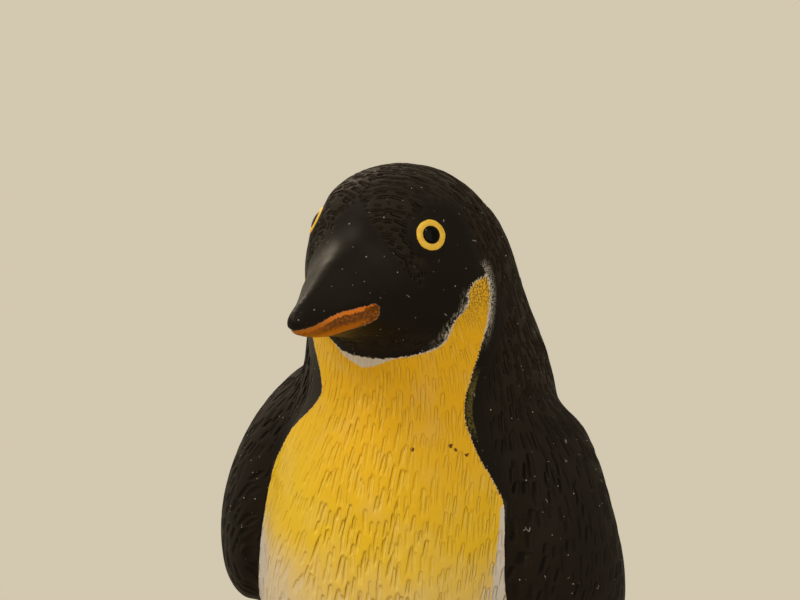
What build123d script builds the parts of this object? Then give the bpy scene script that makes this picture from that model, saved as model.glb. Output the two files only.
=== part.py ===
"""Penguin figurine: a hollow moulded figure of thirteen glued pieces, 90 mm tall, facing -Y."""
import os
from math import cos, pi, radians, sin

from build123d import *

# Driving dimensions, in millimetres, with +Z up and the floor at zero
WALL = 1.8
GLUE_GAP = 0.05
SEAM_REACH = 60

# Trunk, neck and crown: height, centre in Y, half width, half depth
TRUNK_SECTIONS = [
    (3, 6.0, 12.0, 10.0),
    (6, 5.5, 16.0, 14.5),
    (12, 4.8, 18.2, 17.4),
    (20, 4.4, 19.0, 19.0),
    (30, 4.3, 19.3, 19.7),
    (38, 4.7, 19.3, 19.9),
    (46, 5.8, 19.0, 19.8),
    (53, 7.0, 18.2, 19.2),
    (60, 8.0, 16.7, 17.7),
    (66, 6.8, 15.2, 16.8),
    (72, 3.6, 14.0, 15.3),
    (77, 1.3, 13.2, 14.3),
    (81, 0.3, 11.9, 13.5),
    (82.6, 0.0, 11.1, 12.8),
    (84.5, -0.9, 10.0, 11.6),
    (87.3, -1.8, 7.5, 8.8),
    (89.2, -2.0, 4.2, 4.9),
    (90, -2.1, 1.1, 1.3),
]
TRUNK_BASE = 3
TRUNK_FLOOR = 6
CROWN_CEILING = 88

# The face looks a little to its own right: turn about the Z axis, in degrees
HEAD_TURN = 5.5

# Face and bill: place ahead of the Z axis, centre height, half width, half height, pinch of the ridge
BILL_SECTIONS = [
    (2, 76.2, 10.4, 11.2, 0),
    (8, 76.2, 9.2, 9.6, 0.12),
    (12, 76.15, 7.2, 7.15, 0.3),
    (16, 75.6, 5.0, 5.1, 0.44),
    (19.5, 74.55, 3.25, 3.55, 0.44),
    (22.5, 73.8, 1.95, 2.3, 0.4),
    (24.4, 73.55, 1.2, 1.4, 0.3),
    (25.3, 73.5, 0.65, 0.75, 0.1),
]
BILL_SECTION_POINTS = 16
BILL_SOLID_BEYOND = 13

# Seams seen from the side, as (Y, height): chin to ear, then ear down to the feet
HOOD_EDGE = [(-10.5, 66.9), (-8.0, 69.2), (-6.9, 72.8), (-5.4, 76.6), (-3.6, 77.8)]
BIB_EDGE = [
    (-3.6, 77.8),
    (-3.4, 74),
    (-4.5, 66),
    (-5.6, 58),
    (-4.6, 52),
    (-2.6, 44),
    (1, 30),
    (4, 16),
    (6, 0),
]
NAPE_HEIGHT = 77.8

# Neck spigot of the head, in a socket in the top of the back shell
SPIGOT_PLACE = 3.0
SPIGOT_RADIUS = 5.0
SPIGOT_DEPTH = 5.0

# Lower half of the bill, seen from the side of the turned face
MOUTH_LINE = [(-27, 72.5), (-22.6, 73.1), (-20.6, 74.0), (-17.0, 74.7)]
MOUTH_CORNER = (-14.6, 73.5)
JAW_ROOT = (-16.4, 71.1)
JAW_BOTTOM = 68.0
JAW_PEG_RADIUS = 0.9
JAW_PEG_LENGTH = 1.8
JAW_PEG_HEIGHT = 73.0

# Eyes: the head's section at their height, then the bearing of each eye's place, its facing and its tilt
EYE_SECTION = (82.6, 0.0, 11.1, 12.8)
EYES = {"left": (42.3, 50, 21), "right": (-57, -62, 25)}
EYE_RING_RADIUS = 1.9
PUPIL_RADIUS = 1.05
EYE_SOCKET_DEPTH = 0.7
EYE_RING_PROUD = 0.2
PUPIL_DOME = 0.35

# Left flipper: X, Y, height, half chord, half thickness, turn of the chord from the X axis
FLIPPER_SECTIONS = [
    (12.0, 7.6, 61.2, 5.0, 3.0, 70),
    (16.4, 5.4, 55.9, 7.8, 4.6, 66),
    (19.8, 3.6, 50.3, 7.7, 4.8, 64),
    (21.7, 2.2, 44.6, 8.3, 4.7, 61),
    (22.6, 1.8, 39.4, 8.7, 4.5, 58),
    (23.0, 2.1, 34.8, 8.5, 4.2, 58),
    (23.0, 2.5, 31.2, 7.5, 3.6, 58),
    (22.8, 3.0, 28.9, 5.4, 2.6, 58),
    (22.7, 3.4, 28.0, 2.8, 1.2, 58),
]
# The right shoulder stands a little higher: its sections are raised by a share of their height above a level
SHOULDER_LIFT = 0.11
SHOULDER_LEVEL = 45
SHOULDER_PEG = (5.0, 55.0)
SHOULDER_PEG_RADIUS = 2.0
SHOULDER_PEG_ROOT = 11.5
SHOULDER_PEG_END = 18.0

# Left foot: heel, ball and toe tips in plan, then sole, ankle and peg
HEEL = (8.5, 9.0)
HEEL_RADIUS = 4.2
BALL = (9.0, -9.0)
BALL_RADIUS = 5.6
TOES = [(3.2, -21.4), (9.4, -24.4), (15.4, -20.4)]
TOE_RADIUS = 2.2
SOLE_HEIGHT = 2.8
SOLE_BEVEL = 0.8
ANKLE = (8.5, 1.5)
ANKLE_RADIUS = 4.4
ANKLE_HEIGHT = 6.5
ANKLE_PEG_RADIUS = 2.2
ANKLE_PEG_TOP = 8.5

# Tail, grown out of the back shell: place in Y, centre height, half width, half height
TAIL_SECTIONS = [(15.5, 10.0, 7.5, 6.0), (20, 7.2, 6.5, 4.2), (24, 4.6, 4.2, 2.4), (26.6, 3.0, 1.4, 0.9)]

# Locating pins between the breast and back shells: X, height, and the seam's place in Y there
SHELL_PINS = [(-10.5, 20, 3.2), (10.5, 20, 3.2), (-8, 63, -5), (8, 63, -5)]
BOSS_RADIUS = 2.4
PIN_RADIUS = 1.2
PIN_LENGTH = 4.0
PIN_ROOT = 1.0
BOSS_FRONT = -20
BOSS_BACK = 30

# Vent in the underside, closed by a plug
VENT_PLACE = (0, 11)
VENT_RADIUS = 2.6
PLUG_FLANGE_RADIUS = 3.8
PLUG_FLANGE_HEIGHT = 0.8
PLUG_STEM = 4.5


def trunk_form(inset: float, lowest: float, highest: float) -> Part:
    """The trunk, neck and crown, drawn in by an inset between two heights."""
    sections = [section for section in TRUNK_SECTIONS if lowest <= section[0] <= highest]
    with BuildPart() as form:
        for height, centre, half_width, half_depth in sections:
            with BuildSketch(Plane.XY.offset(height)):
                with Locations((0, centre)):
                    Ellipse(half_width - inset, half_depth - inset)
        loft()
    return form.part


# Planes of the turned face: across the bill, and along its middle
turn = radians(HEAD_TURN)
face_plane = Plane(origin=(0, 0, 0), x_dir=(cos(turn), -sin(turn), 0), z_dir=(-sin(turn), -cos(turn), 0))
profile_plane = Plane(origin=(0, 0, 0), x_dir=(sin(turn), cos(turn), 0), z_dir=(cos(turn), -sin(turn), 0))


def bill_section(height: float, half_width: float, half_height: float, pinch: float) -> list:
    """Points round one section of the bill: an ellipse drawn narrower towards its ridge."""
    points = []
    for step in range(BILL_SECTION_POINTS):
        angle = 2 * pi * step / BILL_SECTION_POINTS
        across = half_width * cos(angle) * (1 - pinch * max(0, sin(angle)))
        points.append((across, height + half_height * sin(angle)))
    return points


def bill_form(inset: float, foremost: float) -> Part:
    """The face and bill, drawn in by an inset, as far ahead of the Z axis as a place."""
    with BuildPart() as form:
        for place, height, half_width, half_height, pinch in BILL_SECTIONS:
            if place <= foremost:
                with BuildSketch(face_plane.offset(place)):
                    with BuildLine():
                        Spline(bill_section(height, half_width - inset, half_height - inset, pinch), periodic=True)
                    make_face()
        loft()
    return form.part


# The whole outer form, and the hollow inside it
with BuildPart() as outer:
    add(trunk_form(0, TRUNK_BASE, TRUNK_SECTIONS[-1][0]))
    add(bill_form(0, BILL_SECTIONS[-1][0]))

with BuildPart() as hollow:
    add(trunk_form(WALL, TRUNK_FLOOR, CROWN_CEILING))
    add(bill_form(WALL, BILL_SOLID_BEYOND))


def head_block(lift: float) -> Part:
    """All that lies above the hood's edge and the nape, with that edge lifted up and forward."""
    edge = [(place - lift, height + lift) for place, height in HOOD_EDGE]
    with BuildPart() as block:
        with BuildSketch(Plane.YZ):
            with BuildLine():
                Spline(edge)
                Polyline(
                    edge[-1],
                    (SEAM_REACH, edge[-1][1]),
                    (SEAM_REACH, 2 * SEAM_REACH),
                    (-SEAM_REACH, 2 * SEAM_REACH),
                    (-SEAM_REACH, edge[0][1]),
                    edge[0],
                )
            make_face()
        extrude(amount=SEAM_REACH, both=True)
    return block.part


# Blocks that cut the outer form along its seams: the head, the breast and the lower bill
head_zone = head_block(0)

with BuildPart() as breast_zone:
    with BuildSketch(Plane.YZ):
        with BuildLine():
            Spline(BIB_EDGE)
            Polyline(
                BIB_EDGE[-1],
                (-SEAM_REACH, BIB_EDGE[-1][1]),
                (-SEAM_REACH, BIB_EDGE[0][1]),
                BIB_EDGE[0],
            )
        make_face()
    extrude(amount=SEAM_REACH, both=True)

with BuildPart() as jaw_zone:
    with BuildSketch(profile_plane):
        with BuildLine():
            Spline(MOUTH_LINE)
            Polyline(
                MOUTH_LINE[-1],
                MOUTH_CORNER,
                JAW_ROOT,
                (JAW_ROOT[0], JAW_BOTTOM),
                (MOUTH_LINE[0][0], JAW_BOTTOM),
                MOUTH_LINE[0],
            )
        make_face()
    extrude(amount=SEAM_REACH, both=True)

# The hollow, parted by the floor of the head and the top of the body
with BuildPart() as head_hollow:
    add(hollow.part)
    add(head_block(WALL), mode=Mode.INTERSECT)

with BuildPart() as body_hollow:
    add(hollow.part)
    add(head_block(-WALL), mode=Mode.SUBTRACT)


def eye_plane(bearing: float, facing: float, tilt: float) -> Plane:
    """The plane of an eye at a bearing round the head's section, turned to a facing and tilted upward."""
    height, centre, half_width, half_depth = EYE_SECTION
    level = cos(radians(tilt))
    return Plane(
        origin=(half_width * sin(radians(bearing)), centre - half_depth * cos(radians(bearing)), height),
        z_dir=(level * sin(radians(facing)), -level * cos(radians(facing)), sin(radians(tilt))),
    )


# Planes that the small fittings stand on, for the left and the right side
SIDES = {"left": 1, "right": -1}
spigot_plane = Plane.XY.offset(NAPE_HEIGHT)
jaw_peg_plane = face_plane.offset(-MOUTH_CORNER[0])
eye_planes = {name: eye_plane(*angles) for name, angles in EYES.items()}

# Head shell: crown, face and upper bill, with eye sockets, jaw socket and neck spigot
with BuildPart() as head_shell:
    add(outer.part)
    add(head_zone, mode=Mode.INTERSECT)
    add(head_hollow.part, mode=Mode.SUBTRACT)
    add(jaw_zone.part, mode=Mode.SUBTRACT)
    with BuildSketch(spigot_plane):
        with Locations((0, SPIGOT_PLACE)):
            Circle(SPIGOT_RADIUS)
    extrude(amount=-SPIGOT_DEPTH)
    with BuildSketch(spigot_plane.offset(-SPIGOT_DEPTH)):
        with Locations((0, SPIGOT_PLACE)):
            Circle(SPIGOT_RADIUS - WALL)
    extrude(amount=SPIGOT_DEPTH + 2 * WALL, mode=Mode.SUBTRACT)
    with BuildSketch(*eye_planes.values()):
        Circle(EYE_RING_RADIUS + GLUE_GAP)
    extrude(amount=EYE_SOCKET_DEPTH, both=True, mode=Mode.SUBTRACT)
    with BuildSketch(jaw_peg_plane):
        with Locations((0, JAW_PEG_HEIGHT)):
            Circle(JAW_PEG_RADIUS + GLUE_GAP)
    extrude(amount=JAW_PEG_LENGTH + GLUE_GAP, both=True, mode=Mode.SUBTRACT)

# Lower bill: the solid underside of the bill, with a peg into the head
with BuildPart() as lower_bill:
    add(outer.part)
    add(jaw_zone.part, mode=Mode.INTERSECT)
    with BuildSketch(jaw_peg_plane):
        with Locations((0, JAW_PEG_HEIGHT)):
            Circle(JAW_PEG_RADIUS)
    extrude(amount=JAW_PEG_LENGTH, both=True)

# Eyes: a raised ring in each socket, and a domed pupil in the ring
eye_rings = {}
pupils = {}
for name, plane in eye_planes.items():
    with BuildPart() as ring:
        with BuildSketch(plane.offset(-EYE_SOCKET_DEPTH)):
            Circle(EYE_RING_RADIUS)
            Circle(PUPIL_RADIUS + GLUE_GAP, mode=Mode.SUBTRACT)
        extrude(amount=EYE_SOCKET_DEPTH + EYE_RING_PROUD)
        front = ring.faces().sort_by(Axis(plane.origin, plane.z_dir))[-1]
        fillet(front.outer_wire().edges(), EYE_RING_PROUD)
    eye_rings[name] = ring.part
    with BuildPart() as pupil:
        with BuildSketch(plane.offset(-EYE_SOCKET_DEPTH)):
            Circle(PUPIL_RADIUS)
        extrude(amount=EYE_SOCKET_DEPTH + PUPIL_DOME)
        front = pupil.faces().sort_by(Axis(plane.origin, plane.z_dir))[-1]
        fillet(front.edges(), PUPIL_DOME)
    pupils[name] = pupil.part

# Tail, which the back shell takes in
with BuildPart() as tail:
    for place, height, half_width, half_height in TAIL_SECTIONS:
        with BuildSketch(Plane.XZ.offset(-place)):
            with Locations((0, height)):
                Ellipse(half_width, half_height)
    loft()

# Bosses that run from the breast's wall to the back's wall, parted at the seam
with BuildPart() as bosses:
    with BuildSketch(Plane.XZ.offset(-BOSS_FRONT)):
        with Locations(*[(across, height) for across, height, seam in SHELL_PINS]):
            Circle(BOSS_RADIUS)
    extrude(amount=BOSS_FRONT - BOSS_BACK)
    add(outer.part, mode=Mode.INTERSECT)

# Breast shell: the front of neck and belly, with four pins and two ankle sockets
with BuildPart() as breast_shell:
    add(outer.part)
    add(body_hollow.part, mode=Mode.SUBTRACT)
    add(bosses.part)
    add(head_zone, mode=Mode.SUBTRACT)
    add(breast_zone.part, mode=Mode.INTERSECT)
    for across, height, seam in SHELL_PINS:
        with BuildSketch(Plane.XZ.offset(PIN_ROOT - seam)):
            with Locations((across, height)):
                Circle(PIN_RADIUS)
        extrude(amount=-PIN_ROOT - PIN_LENGTH)
    with Locations(*[(side * ANKLE[0], ANKLE[1], ANKLE_PEG_TOP) for side in SIDES.values()]):
        Cylinder(
            ANKLE_PEG_RADIUS + GLUE_GAP,
            ANKLE_PEG_TOP,
            align=(Align.CENTER, Align.CENTER, Align.MAX),
            mode=Mode.SUBTRACT,
        )

# Back shell: nape, back and tail, with the sockets of neck, shoulders, pins and vent
with BuildPart() as back_shell:
    add(outer.part)
    add(tail.part)
    add(body_hollow.part, mode=Mode.SUBTRACT)
    add(bosses.part)
    add(head_zone, mode=Mode.SUBTRACT)
    add(breast_zone.part, mode=Mode.SUBTRACT)
    with BuildSketch(spigot_plane):
        with Locations((0, SPIGOT_PLACE)):
            Circle(SPIGOT_RADIUS + GLUE_GAP)
    extrude(amount=-SPIGOT_DEPTH, mode=Mode.SUBTRACT)
    for across, height, seam in SHELL_PINS:
        with BuildSketch(Plane.XZ.offset(-seam)):
            with Locations((across, height)):
                Circle(PIN_RADIUS + GLUE_GAP)
        extrude(amount=PIN_LENGTH + GLUE_GAP, both=True, mode=Mode.SUBTRACT)
    with BuildSketch(Plane.YZ):
        with Locations(SHOULDER_PEG):
            Circle(SHOULDER_PEG_RADIUS + GLUE_GAP)
    extrude(amount=SHOULDER_PEG_END, both=True, mode=Mode.SUBTRACT)
    with Locations((*VENT_PLACE, TRUNK_FLOOR)):
        Cylinder(
            VENT_RADIUS + GLUE_GAP,
            TRUNK_FLOOR,
            align=(Align.CENTER, Align.CENTER, Align.MAX),
            mode=Mode.SUBTRACT,
        )

# Vent plug: a flange under the floor and a stem through it
with BuildPart() as vent_plug:
    with BuildSketch(Plane.XY.offset(TRUNK_BASE)):
        with Locations(VENT_PLACE):
            Circle(PLUG_FLANGE_RADIUS)
    extrude(amount=-PLUG_FLANGE_HEIGHT)
    with BuildSketch(Plane.XY.offset(TRUNK_BASE)):
        with Locations(VENT_PLACE):
            Circle(VENT_RADIUS)
    extrude(amount=PLUG_STEM)
    chamfer(vent_plug.edges().group_by(Axis.Z)[-1], PLUG_FLANGE_HEIGHT / 2)


def flipper_form(side: int, lift: float) -> Part:
    """A flipper: a tapering blade cut to the shoulder, with a peg into the back shell."""
    with BuildPart() as flipper:
        for across, place, height, half_chord, half_thickness, chord_turn in FLIPPER_SECTIONS:
            raised = height + lift * max(0, height - SHOULDER_LEVEL)
            with BuildSketch(Plane.XY.offset(raised)):
                with Locations((side * across, place)):
                    Ellipse(half_chord, half_thickness, rotation=90 + side * (chord_turn - 90))
        loft()
        add(outer.part, mode=Mode.SUBTRACT)
        with BuildSketch(Plane.YZ.offset(side * SHOULDER_PEG_ROOT)):
            with Locations(SHOULDER_PEG):
                Circle(SHOULDER_PEG_RADIUS)
        extrude(amount=side * (SHOULDER_PEG_END - SHOULDER_PEG_ROOT))
    return flipper.part


# Flippers: the left one as drawn, the right one with its shoulder raised
left_flipper = flipper_form(SIDES["left"], 0)
right_flipper = flipper_form(SIDES["right"], SHOULDER_LIFT)


def web_lobe(root: tuple, root_radius: float, tip: tuple, tip_radius: float) -> Sketch:
    """One lobe of the foot in plan: the hull of two circles."""
    with BuildSketch() as lobe:
        with Locations(root):
            Circle(root_radius)
        with Locations(tip):
            Circle(tip_radius)
        make_hull()
    return lobe.sketch


# Left foot: three webbed toes, an ankle cut to the belly, and a peg into the breast shell
with BuildPart() as left_foot:
    with BuildSketch():
        add(web_lobe(HEEL, HEEL_RADIUS, BALL, BALL_RADIUS))
        for tip in TOES:
            add(web_lobe(BALL, BALL_RADIUS, tip, TOE_RADIUS))
    extrude(amount=SOLE_HEIGHT)
    chamfer(left_foot.faces().sort_by(Axis.Z)[-1].edges(), SOLE_BEVEL)
    with Locations(ANKLE):
        Cylinder(ANKLE_RADIUS, ANKLE_HEIGHT, align=(Align.CENTER, Align.CENTER, Align.MIN))
    add(outer.part, mode=Mode.SUBTRACT)
    with Locations(ANKLE):
        Cylinder(ANKLE_PEG_RADIUS, ANKLE_PEG_TOP, align=(Align.CENTER, Align.CENTER, Align.MIN))

with BuildPart() as right_foot:
    mirror(left_foot.part, about=Plane.YZ)

pieces = {
    "head_shell": head_shell.part,
    "lower_bill": lower_bill.part,
    "left_eye_ring": eye_rings["left"],
    "right_eye_ring": eye_rings["right"],
    "left_pupil": pupils["left"],
    "right_pupil": pupils["right"],
    "breast_shell": breast_shell.part,
    "back_shell": back_shell.part,
    "vent_plug": vent_plug.part,
    "left_flipper": left_flipper,
    "right_flipper": right_flipper,
    "left_foot": left_foot.part,
    "right_foot": right_foot.part,
}

os.makedirs("parts", exist_ok=True)
for name, piece in pieces.items():
    piece.label = name
    export_step(piece, f"parts/{name}.step")
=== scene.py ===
"""Looks of a penguin figurine: sprayed vinyl with engraved feathers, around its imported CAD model."""
import logging
import math
from dataclasses import dataclass, field
from enum import Enum
from typing import ClassVar

import bmesh
import bpy
import numpy as np
from mathutils import Matrix, Vector


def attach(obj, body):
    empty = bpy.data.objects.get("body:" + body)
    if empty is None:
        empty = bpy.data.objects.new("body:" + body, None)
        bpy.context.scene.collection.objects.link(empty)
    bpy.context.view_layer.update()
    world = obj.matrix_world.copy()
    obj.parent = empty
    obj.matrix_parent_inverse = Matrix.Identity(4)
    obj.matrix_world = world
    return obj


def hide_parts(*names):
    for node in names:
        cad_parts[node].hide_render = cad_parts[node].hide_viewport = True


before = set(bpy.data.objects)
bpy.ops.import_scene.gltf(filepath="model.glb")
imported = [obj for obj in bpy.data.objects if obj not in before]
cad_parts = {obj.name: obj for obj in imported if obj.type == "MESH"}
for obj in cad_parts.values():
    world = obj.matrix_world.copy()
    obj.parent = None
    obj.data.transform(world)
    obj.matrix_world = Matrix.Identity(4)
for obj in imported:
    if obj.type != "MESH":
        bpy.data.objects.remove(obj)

Array = np.ndarray
Material = bpy.types.Material
Mesh = bpy.types.Mesh
Node = bpy.types.Node
Piece = bpy.types.Object
Socket = bpy.types.NodeSocket

LOG = logging.getLogger("penguin")
MM = 0.001
BODY = "root"
SEED = 7
HEAD_TURN = 5.5


# Small helpers for numbers


def smoothstep(low: float, high: float, value: Array) -> Array:
    """A soft step from 0 at low to 1 at high."""
    share = np.clip((value - low) / (high - low), 0.0, 1.0)
    return share * share * (3.0 - 2.0 * share)


def bump_at(centre: float, reach: float, value: Array) -> Array:
    """A soft bump, 1 at the centre and 0 beyond its reach."""
    return 1.0 - smoothstep(0.0, reach, np.abs(value - centre))


def colour(red: int, green: int, blue: int) -> tuple[float, float, float, float]:
    """A display colour of 0 to 255 as the linear colour that nodes take.

    Args:
        red: its red, 0 to 255.
        green: its green, 0 to 255.
        blue: its blue, 0 to 255.

    Returns:
        Red, green, blue and alpha.
    """
    parts = [value / 255 for value in (red, green, blue)]
    linear = [part / 12.92 if part <= 0.04045 else ((part + 0.055) / 1.055) ** 2.4 for part in parts]
    return (*linear, 1.0)


def natural_spline(knots: Array, values: Array, at: Array) -> Array:
    """A cubic spline through rows of values, free at both ends.

    Args:
        knots: rising places of the rows.
        values: one row for each knot.
        at: the places to read.

    Returns:
        One row for each place read.
    """
    count = len(knots)
    gaps = np.diff(knots)
    slopes = np.diff(values, axis=0) / gaps[:, None]
    system = np.eye(count)
    right = np.zeros_like(values)
    for row in range(1, count - 1):
        system[row, row - 1 : row + 2] = gaps[row - 1], 2 * (gaps[row - 1] + gaps[row]), gaps[row]
        right[row] = 6 * (slopes[row] - slopes[row - 1])
    bends = np.linalg.solve(system, right)
    left = np.clip(np.searchsorted(knots, at) - 1, 0, count - 2)
    width = gaps[left][:, None]
    ahead = (knots[left + 1] - at)[:, None]
    behind = (at - knots[left])[:, None]
    curved = (bends[left] * ahead**3 + bends[left + 1] * behind**3) / (6 * width)
    before = (values[left] / width - bends[left] * width / 6) * ahead
    after = (values[left + 1] / width - bends[left + 1] * width / 6) * behind
    return curved + before + after


def smooth_line(points: Array, count: int) -> Array:
    """A smooth line of that many points through a few given ones.

    Args:
        points: the given points.
        count: how many points to make.

    Returns:
        The line's points.
    """
    steps = np.linalg.norm(np.diff(points, axis=0), axis=1)
    knots = np.concatenate([[0.0], np.cumsum(steps)])
    return natural_spline(knots, points, np.linspace(0.0, knots[-1], count))


# Forms, in millimetres


def swung(points: Array, degrees: float) -> Array:
    """Rows of points turned about the Z axis.

    Args:
        points: rows of points.
        degrees: how far they turn.

    Returns:
        The turned points.
    """
    cosine = math.cos(math.radians(degrees))
    sine = math.sin(math.radians(degrees))
    across = points[:, 0] * cosine - points[:, 1] * sine
    along = points[:, 0] * sine + points[:, 1] * cosine
    return np.stack([across, along, points[:, 2]], axis=1)


def way_out(bearing: float, rise: float) -> Vector:
    """The way that something faces, from its bearing towards +X and its rise, both in degrees.

    Args:
        bearing: degrees from straight ahead towards +X.
        rise: degrees above the level.

    Returns:
        A vector of length 1.
    """
    turn = math.radians(bearing)
    tilt = math.radians(rise)
    level = math.cos(tilt)
    return Vector((level * math.sin(turn), -level * math.cos(turn), math.sin(tilt)))


def ring_faces(rings: int, around: int, wraps: bool = False) -> list[tuple[int, ...]]:
    """The quads between rings of points, and from the last ring to the first one if it wraps.

    Args:
        rings: how many rings there are.
        around: how many points each ring has.
        wraps: whether the last ring joins the first one.

    Returns:
        The numbers of each quad's corners.
    """
    faces = []
    for ring in range(rings if wraps else rings - 1):
        low = ring * around
        high = (ring + 1) % rings * around
        for step in range(around):
            beside = (step + 1) % around
            faces.append((low + step, low + beside, high + beside, high + step))
    return faces


class Run(Enum):
    """The axis along which a form's cross-sections follow each other."""

    FORWARD = 1
    UPRIGHT = 2


@dataclass(frozen=True)
class LoftForm:
    """A closed form through elliptical cross-sections.

    Each section is its centre in X, Y and Z, two half sizes, the turn of the first one in degrees, and how
    much the section is pinched towards its upper end. The whole form is swung about the Z axis.
    """

    run: Run
    sections: tuple[tuple[float, ...], ...]
    rings: int = 200
    around: int = 120
    swing: float = 0.0

    def sampled(self) -> Array:
        """The sections, smoothly filled in, one row for each ring."""
        return smooth_line(np.array(self.sections, float), self.rings)

    def mesh_data(self) -> tuple[Array, list[tuple[int, ...]]]:
        """The form's points and faces, with both ends closed.

        Returns:
            The points as rows, and the faces as tuples of point numbers.
        """
        rows = self.sampled()
        angle = np.linspace(0.0, 2 * math.pi, self.around, endpoint=False)
        turn = np.radians(rows[:, 5])[:, None]
        first = rows[:, 3:4] * np.cos(angle) * (1.0 - rows[:, 6:7] * np.maximum(np.sin(angle), 0.0))
        second = rows[:, 4:5] * np.sin(angle)
        points = np.repeat(rows[:, None, :3], self.around, axis=1)
        if self.run is Run.UPRIGHT:
            points[:, :, 0] += first * np.cos(turn) - second * np.sin(turn)
            points[:, :, 1] += first * np.sin(turn) + second * np.cos(turn)
        else:
            points[:, :, 0] += first
            points[:, :, 2] += second
        faces = ring_faces(self.rings, self.around)
        last = (self.rings - 1) * self.around
        faces.append(tuple(range(self.around - 1, -1, -1)))
        faces.append(tuple(range(last, last + self.around)))
        return swung(points.reshape(-1, 3), self.swing), faces

    def depth(self, points: Array) -> Array:
        """How far points stand out from the form's surface, negative inside it.

        Args:
            points: rows of points.

        Returns:
            One distance for each point, in millimetres.
        """
        points = swung(points, -self.swing)
        axis = self.run.value
        rows = self.sampled()
        rows = rows[np.argsort(rows[:, axis])]
        place = points[:, axis]
        read = [np.interp(place, rows[:, axis], column) for column in rows.T]
        offset_x = points[:, 0] - read[0]
        if self.run is Run.UPRIGHT:
            turn = np.radians(read[5])
            offset_y = points[:, 1] - read[1]
            first = offset_x * np.cos(turn) + offset_y * np.sin(turn)
            second = offset_y * np.cos(turn) - offset_x * np.sin(turn)
        else:
            second = points[:, 2] - read[2]
            first = offset_x / (1.0 - read[6] * np.clip(second / read[4], 0.0, 1.0))
        share = np.hypot(first / read[3], second / read[4])
        slope = np.hypot(first / read[3] ** 2, second / read[4] ** 2) / np.maximum(share, 1e-6)
        outside = (share - 1.0) / np.maximum(slope, 1e-6)
        beyond = np.maximum(rows[0, axis] - place, place - rows[-1, axis])
        return np.maximum(outside, beyond)

    def mirrored(self, lift: float, level: float) -> "LoftForm":
        """The same form on the figure's other side, raised by a share of its height above a level.

        Args:
            lift: the share.
            level: the level.

        Returns:
            The other side's form.
        """
        turned = tuple(
            (-row[0], row[1], row[2] + lift * max(0.0, row[2] - level), *row[3:5], 180.0 - row[5], row[6])
            for row in self.sections
        )
        return LoftForm(self.run, turned, self.rings, self.around, -self.swing)


def upright(*rows: tuple[float, ...]) -> LoftForm:
    """A form on the middle plane: height, centre in Y, half width, half depth."""
    return LoftForm(Run.UPRIGHT, tuple((0.0, row[1], row[0], row[2], row[3], 0.0, 0.0) for row in rows))


def forward(*rows: tuple[float, ...], swing: float = 0.0) -> LoftForm:
    """A form on a plane swung from the middle one: place in Y, centre height, half sizes, pinch."""
    made = tuple((0.0, row[0], row[1], row[2], row[3], 0.0, row[4]) for row in rows)
    return LoftForm(Run.FORWARD, made, swing=swing)


@dataclass(frozen=True)
class SideLine:
    """A line seen from the side, as (Y, height) points that it runs through smoothly."""

    points: tuple[tuple[float, float], ...]
    count: int = 48

    def line(self) -> Array:
        """The line's points, close together."""
        return smooth_line(np.array(self.points, float), self.count)


def line_distance(places: Array, line: Array) -> tuple[Array, Array]:
    """The distance from places to a line, and the way that leads from the line to each place.

    Args:
        places: rows of (Y, height).
        line: the line's points, in order.

    Returns:
        The distances, and unit vectors.
    """
    best = np.full(len(places), np.inf)
    way = np.zeros_like(places)
    for start, end in zip(line[:-1], line[1:]):
        run = end - start
        share = np.clip(((places - start) @ run) / (run @ run), 0.0, 1.0)
        offset = places - (start + share[:, None] * run)
        distance = np.hypot(offset[:, 0], offset[:, 1])
        nearer = distance < best
        best[nearer] = distance[nearer]
        way[nearer] = offset[nearer]
    return best, way / np.maximum(best, 1e-6)[:, None]


def inside_outline(places: Array, outline: Array) -> Array:
    """Which places a closed outline holds.

    Args:
        places: rows of two numbers.
        outline: the outline's corners in order.

    Returns:
        One truth value for each place.
    """
    held = np.zeros(len(places), bool)
    for start, end in zip(outline, np.roll(outline, -1, axis=0)):
        spans = (start[1] > places[:, 1]) != (end[1] > places[:, 1])
        if not spans.any():
            continue
        crossing = start[0] + (places[:, 1] - start[1]) * (end[0] - start[0]) / (end[1] - start[1])
        held ^= spans & (places[:, 0] < crossing)
    return held


# Meshes


def build_mesh(name: str, points: Array, faces: list | Array) -> Mesh:
    """A mesh from rows of points and faces, shaded smooth.

    Args:
        name: the mesh's name.
        points: its points.
        faces: the numbers of each face's corners.

    Returns:
        The mesh.
    """
    mesh = bpy.data.meshes.new(name)
    if isinstance(faces, Array):
        corners = faces.shape[1]
        mesh.vertices.add(len(points))
        mesh.vertices.foreach_set("co", points.astype(np.float32).ravel())
        mesh.loops.add(faces.size)
        mesh.loops.foreach_set("vertex_index", faces.astype(np.int32).ravel())
        mesh.polygons.add(len(faces))
        mesh.polygons.foreach_set("loop_start", np.arange(0, faces.size, corners, dtype=np.int32))
        mesh.update(calc_edges=True)
    else:
        mesh.from_pydata(points.tolist(), [], faces)
    mesh.shade_smooth()
    return mesh


def rows_of(items: bpy.types.bpy_prop_collection, name: str, width: int, kind: type = np.float32) -> Array:
    """One value of each item, as rows of numbers.

    Args:
        items: a collection, such as a mesh's points.
        name: the value's name.
        width: how many numbers the value has.
        kind: the type of these numbers.

    Returns:
        One row for each item.
    """
    flat = np.zeros(len(items) * width, kind)
    items.foreach_get(name, flat)
    return flat.reshape(-1, width)


def mesh_points(mesh: Mesh) -> Array:
    """A mesh's points as rows."""
    return rows_of(mesh.vertices, "co", 3).astype(float)


def mesh_normals(mesh: Mesh) -> Array:
    """A mesh's point normals as rows."""
    return rows_of(mesh.vertex_normals, "vector", 3).astype(float)


def mesh_quads(mesh: Mesh) -> Array:
    """The faces of an all-quad mesh as rows of four point numbers."""
    return rows_of(mesh.loops, "vertex_index", 1, np.int32).reshape(-1, 4)


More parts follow.
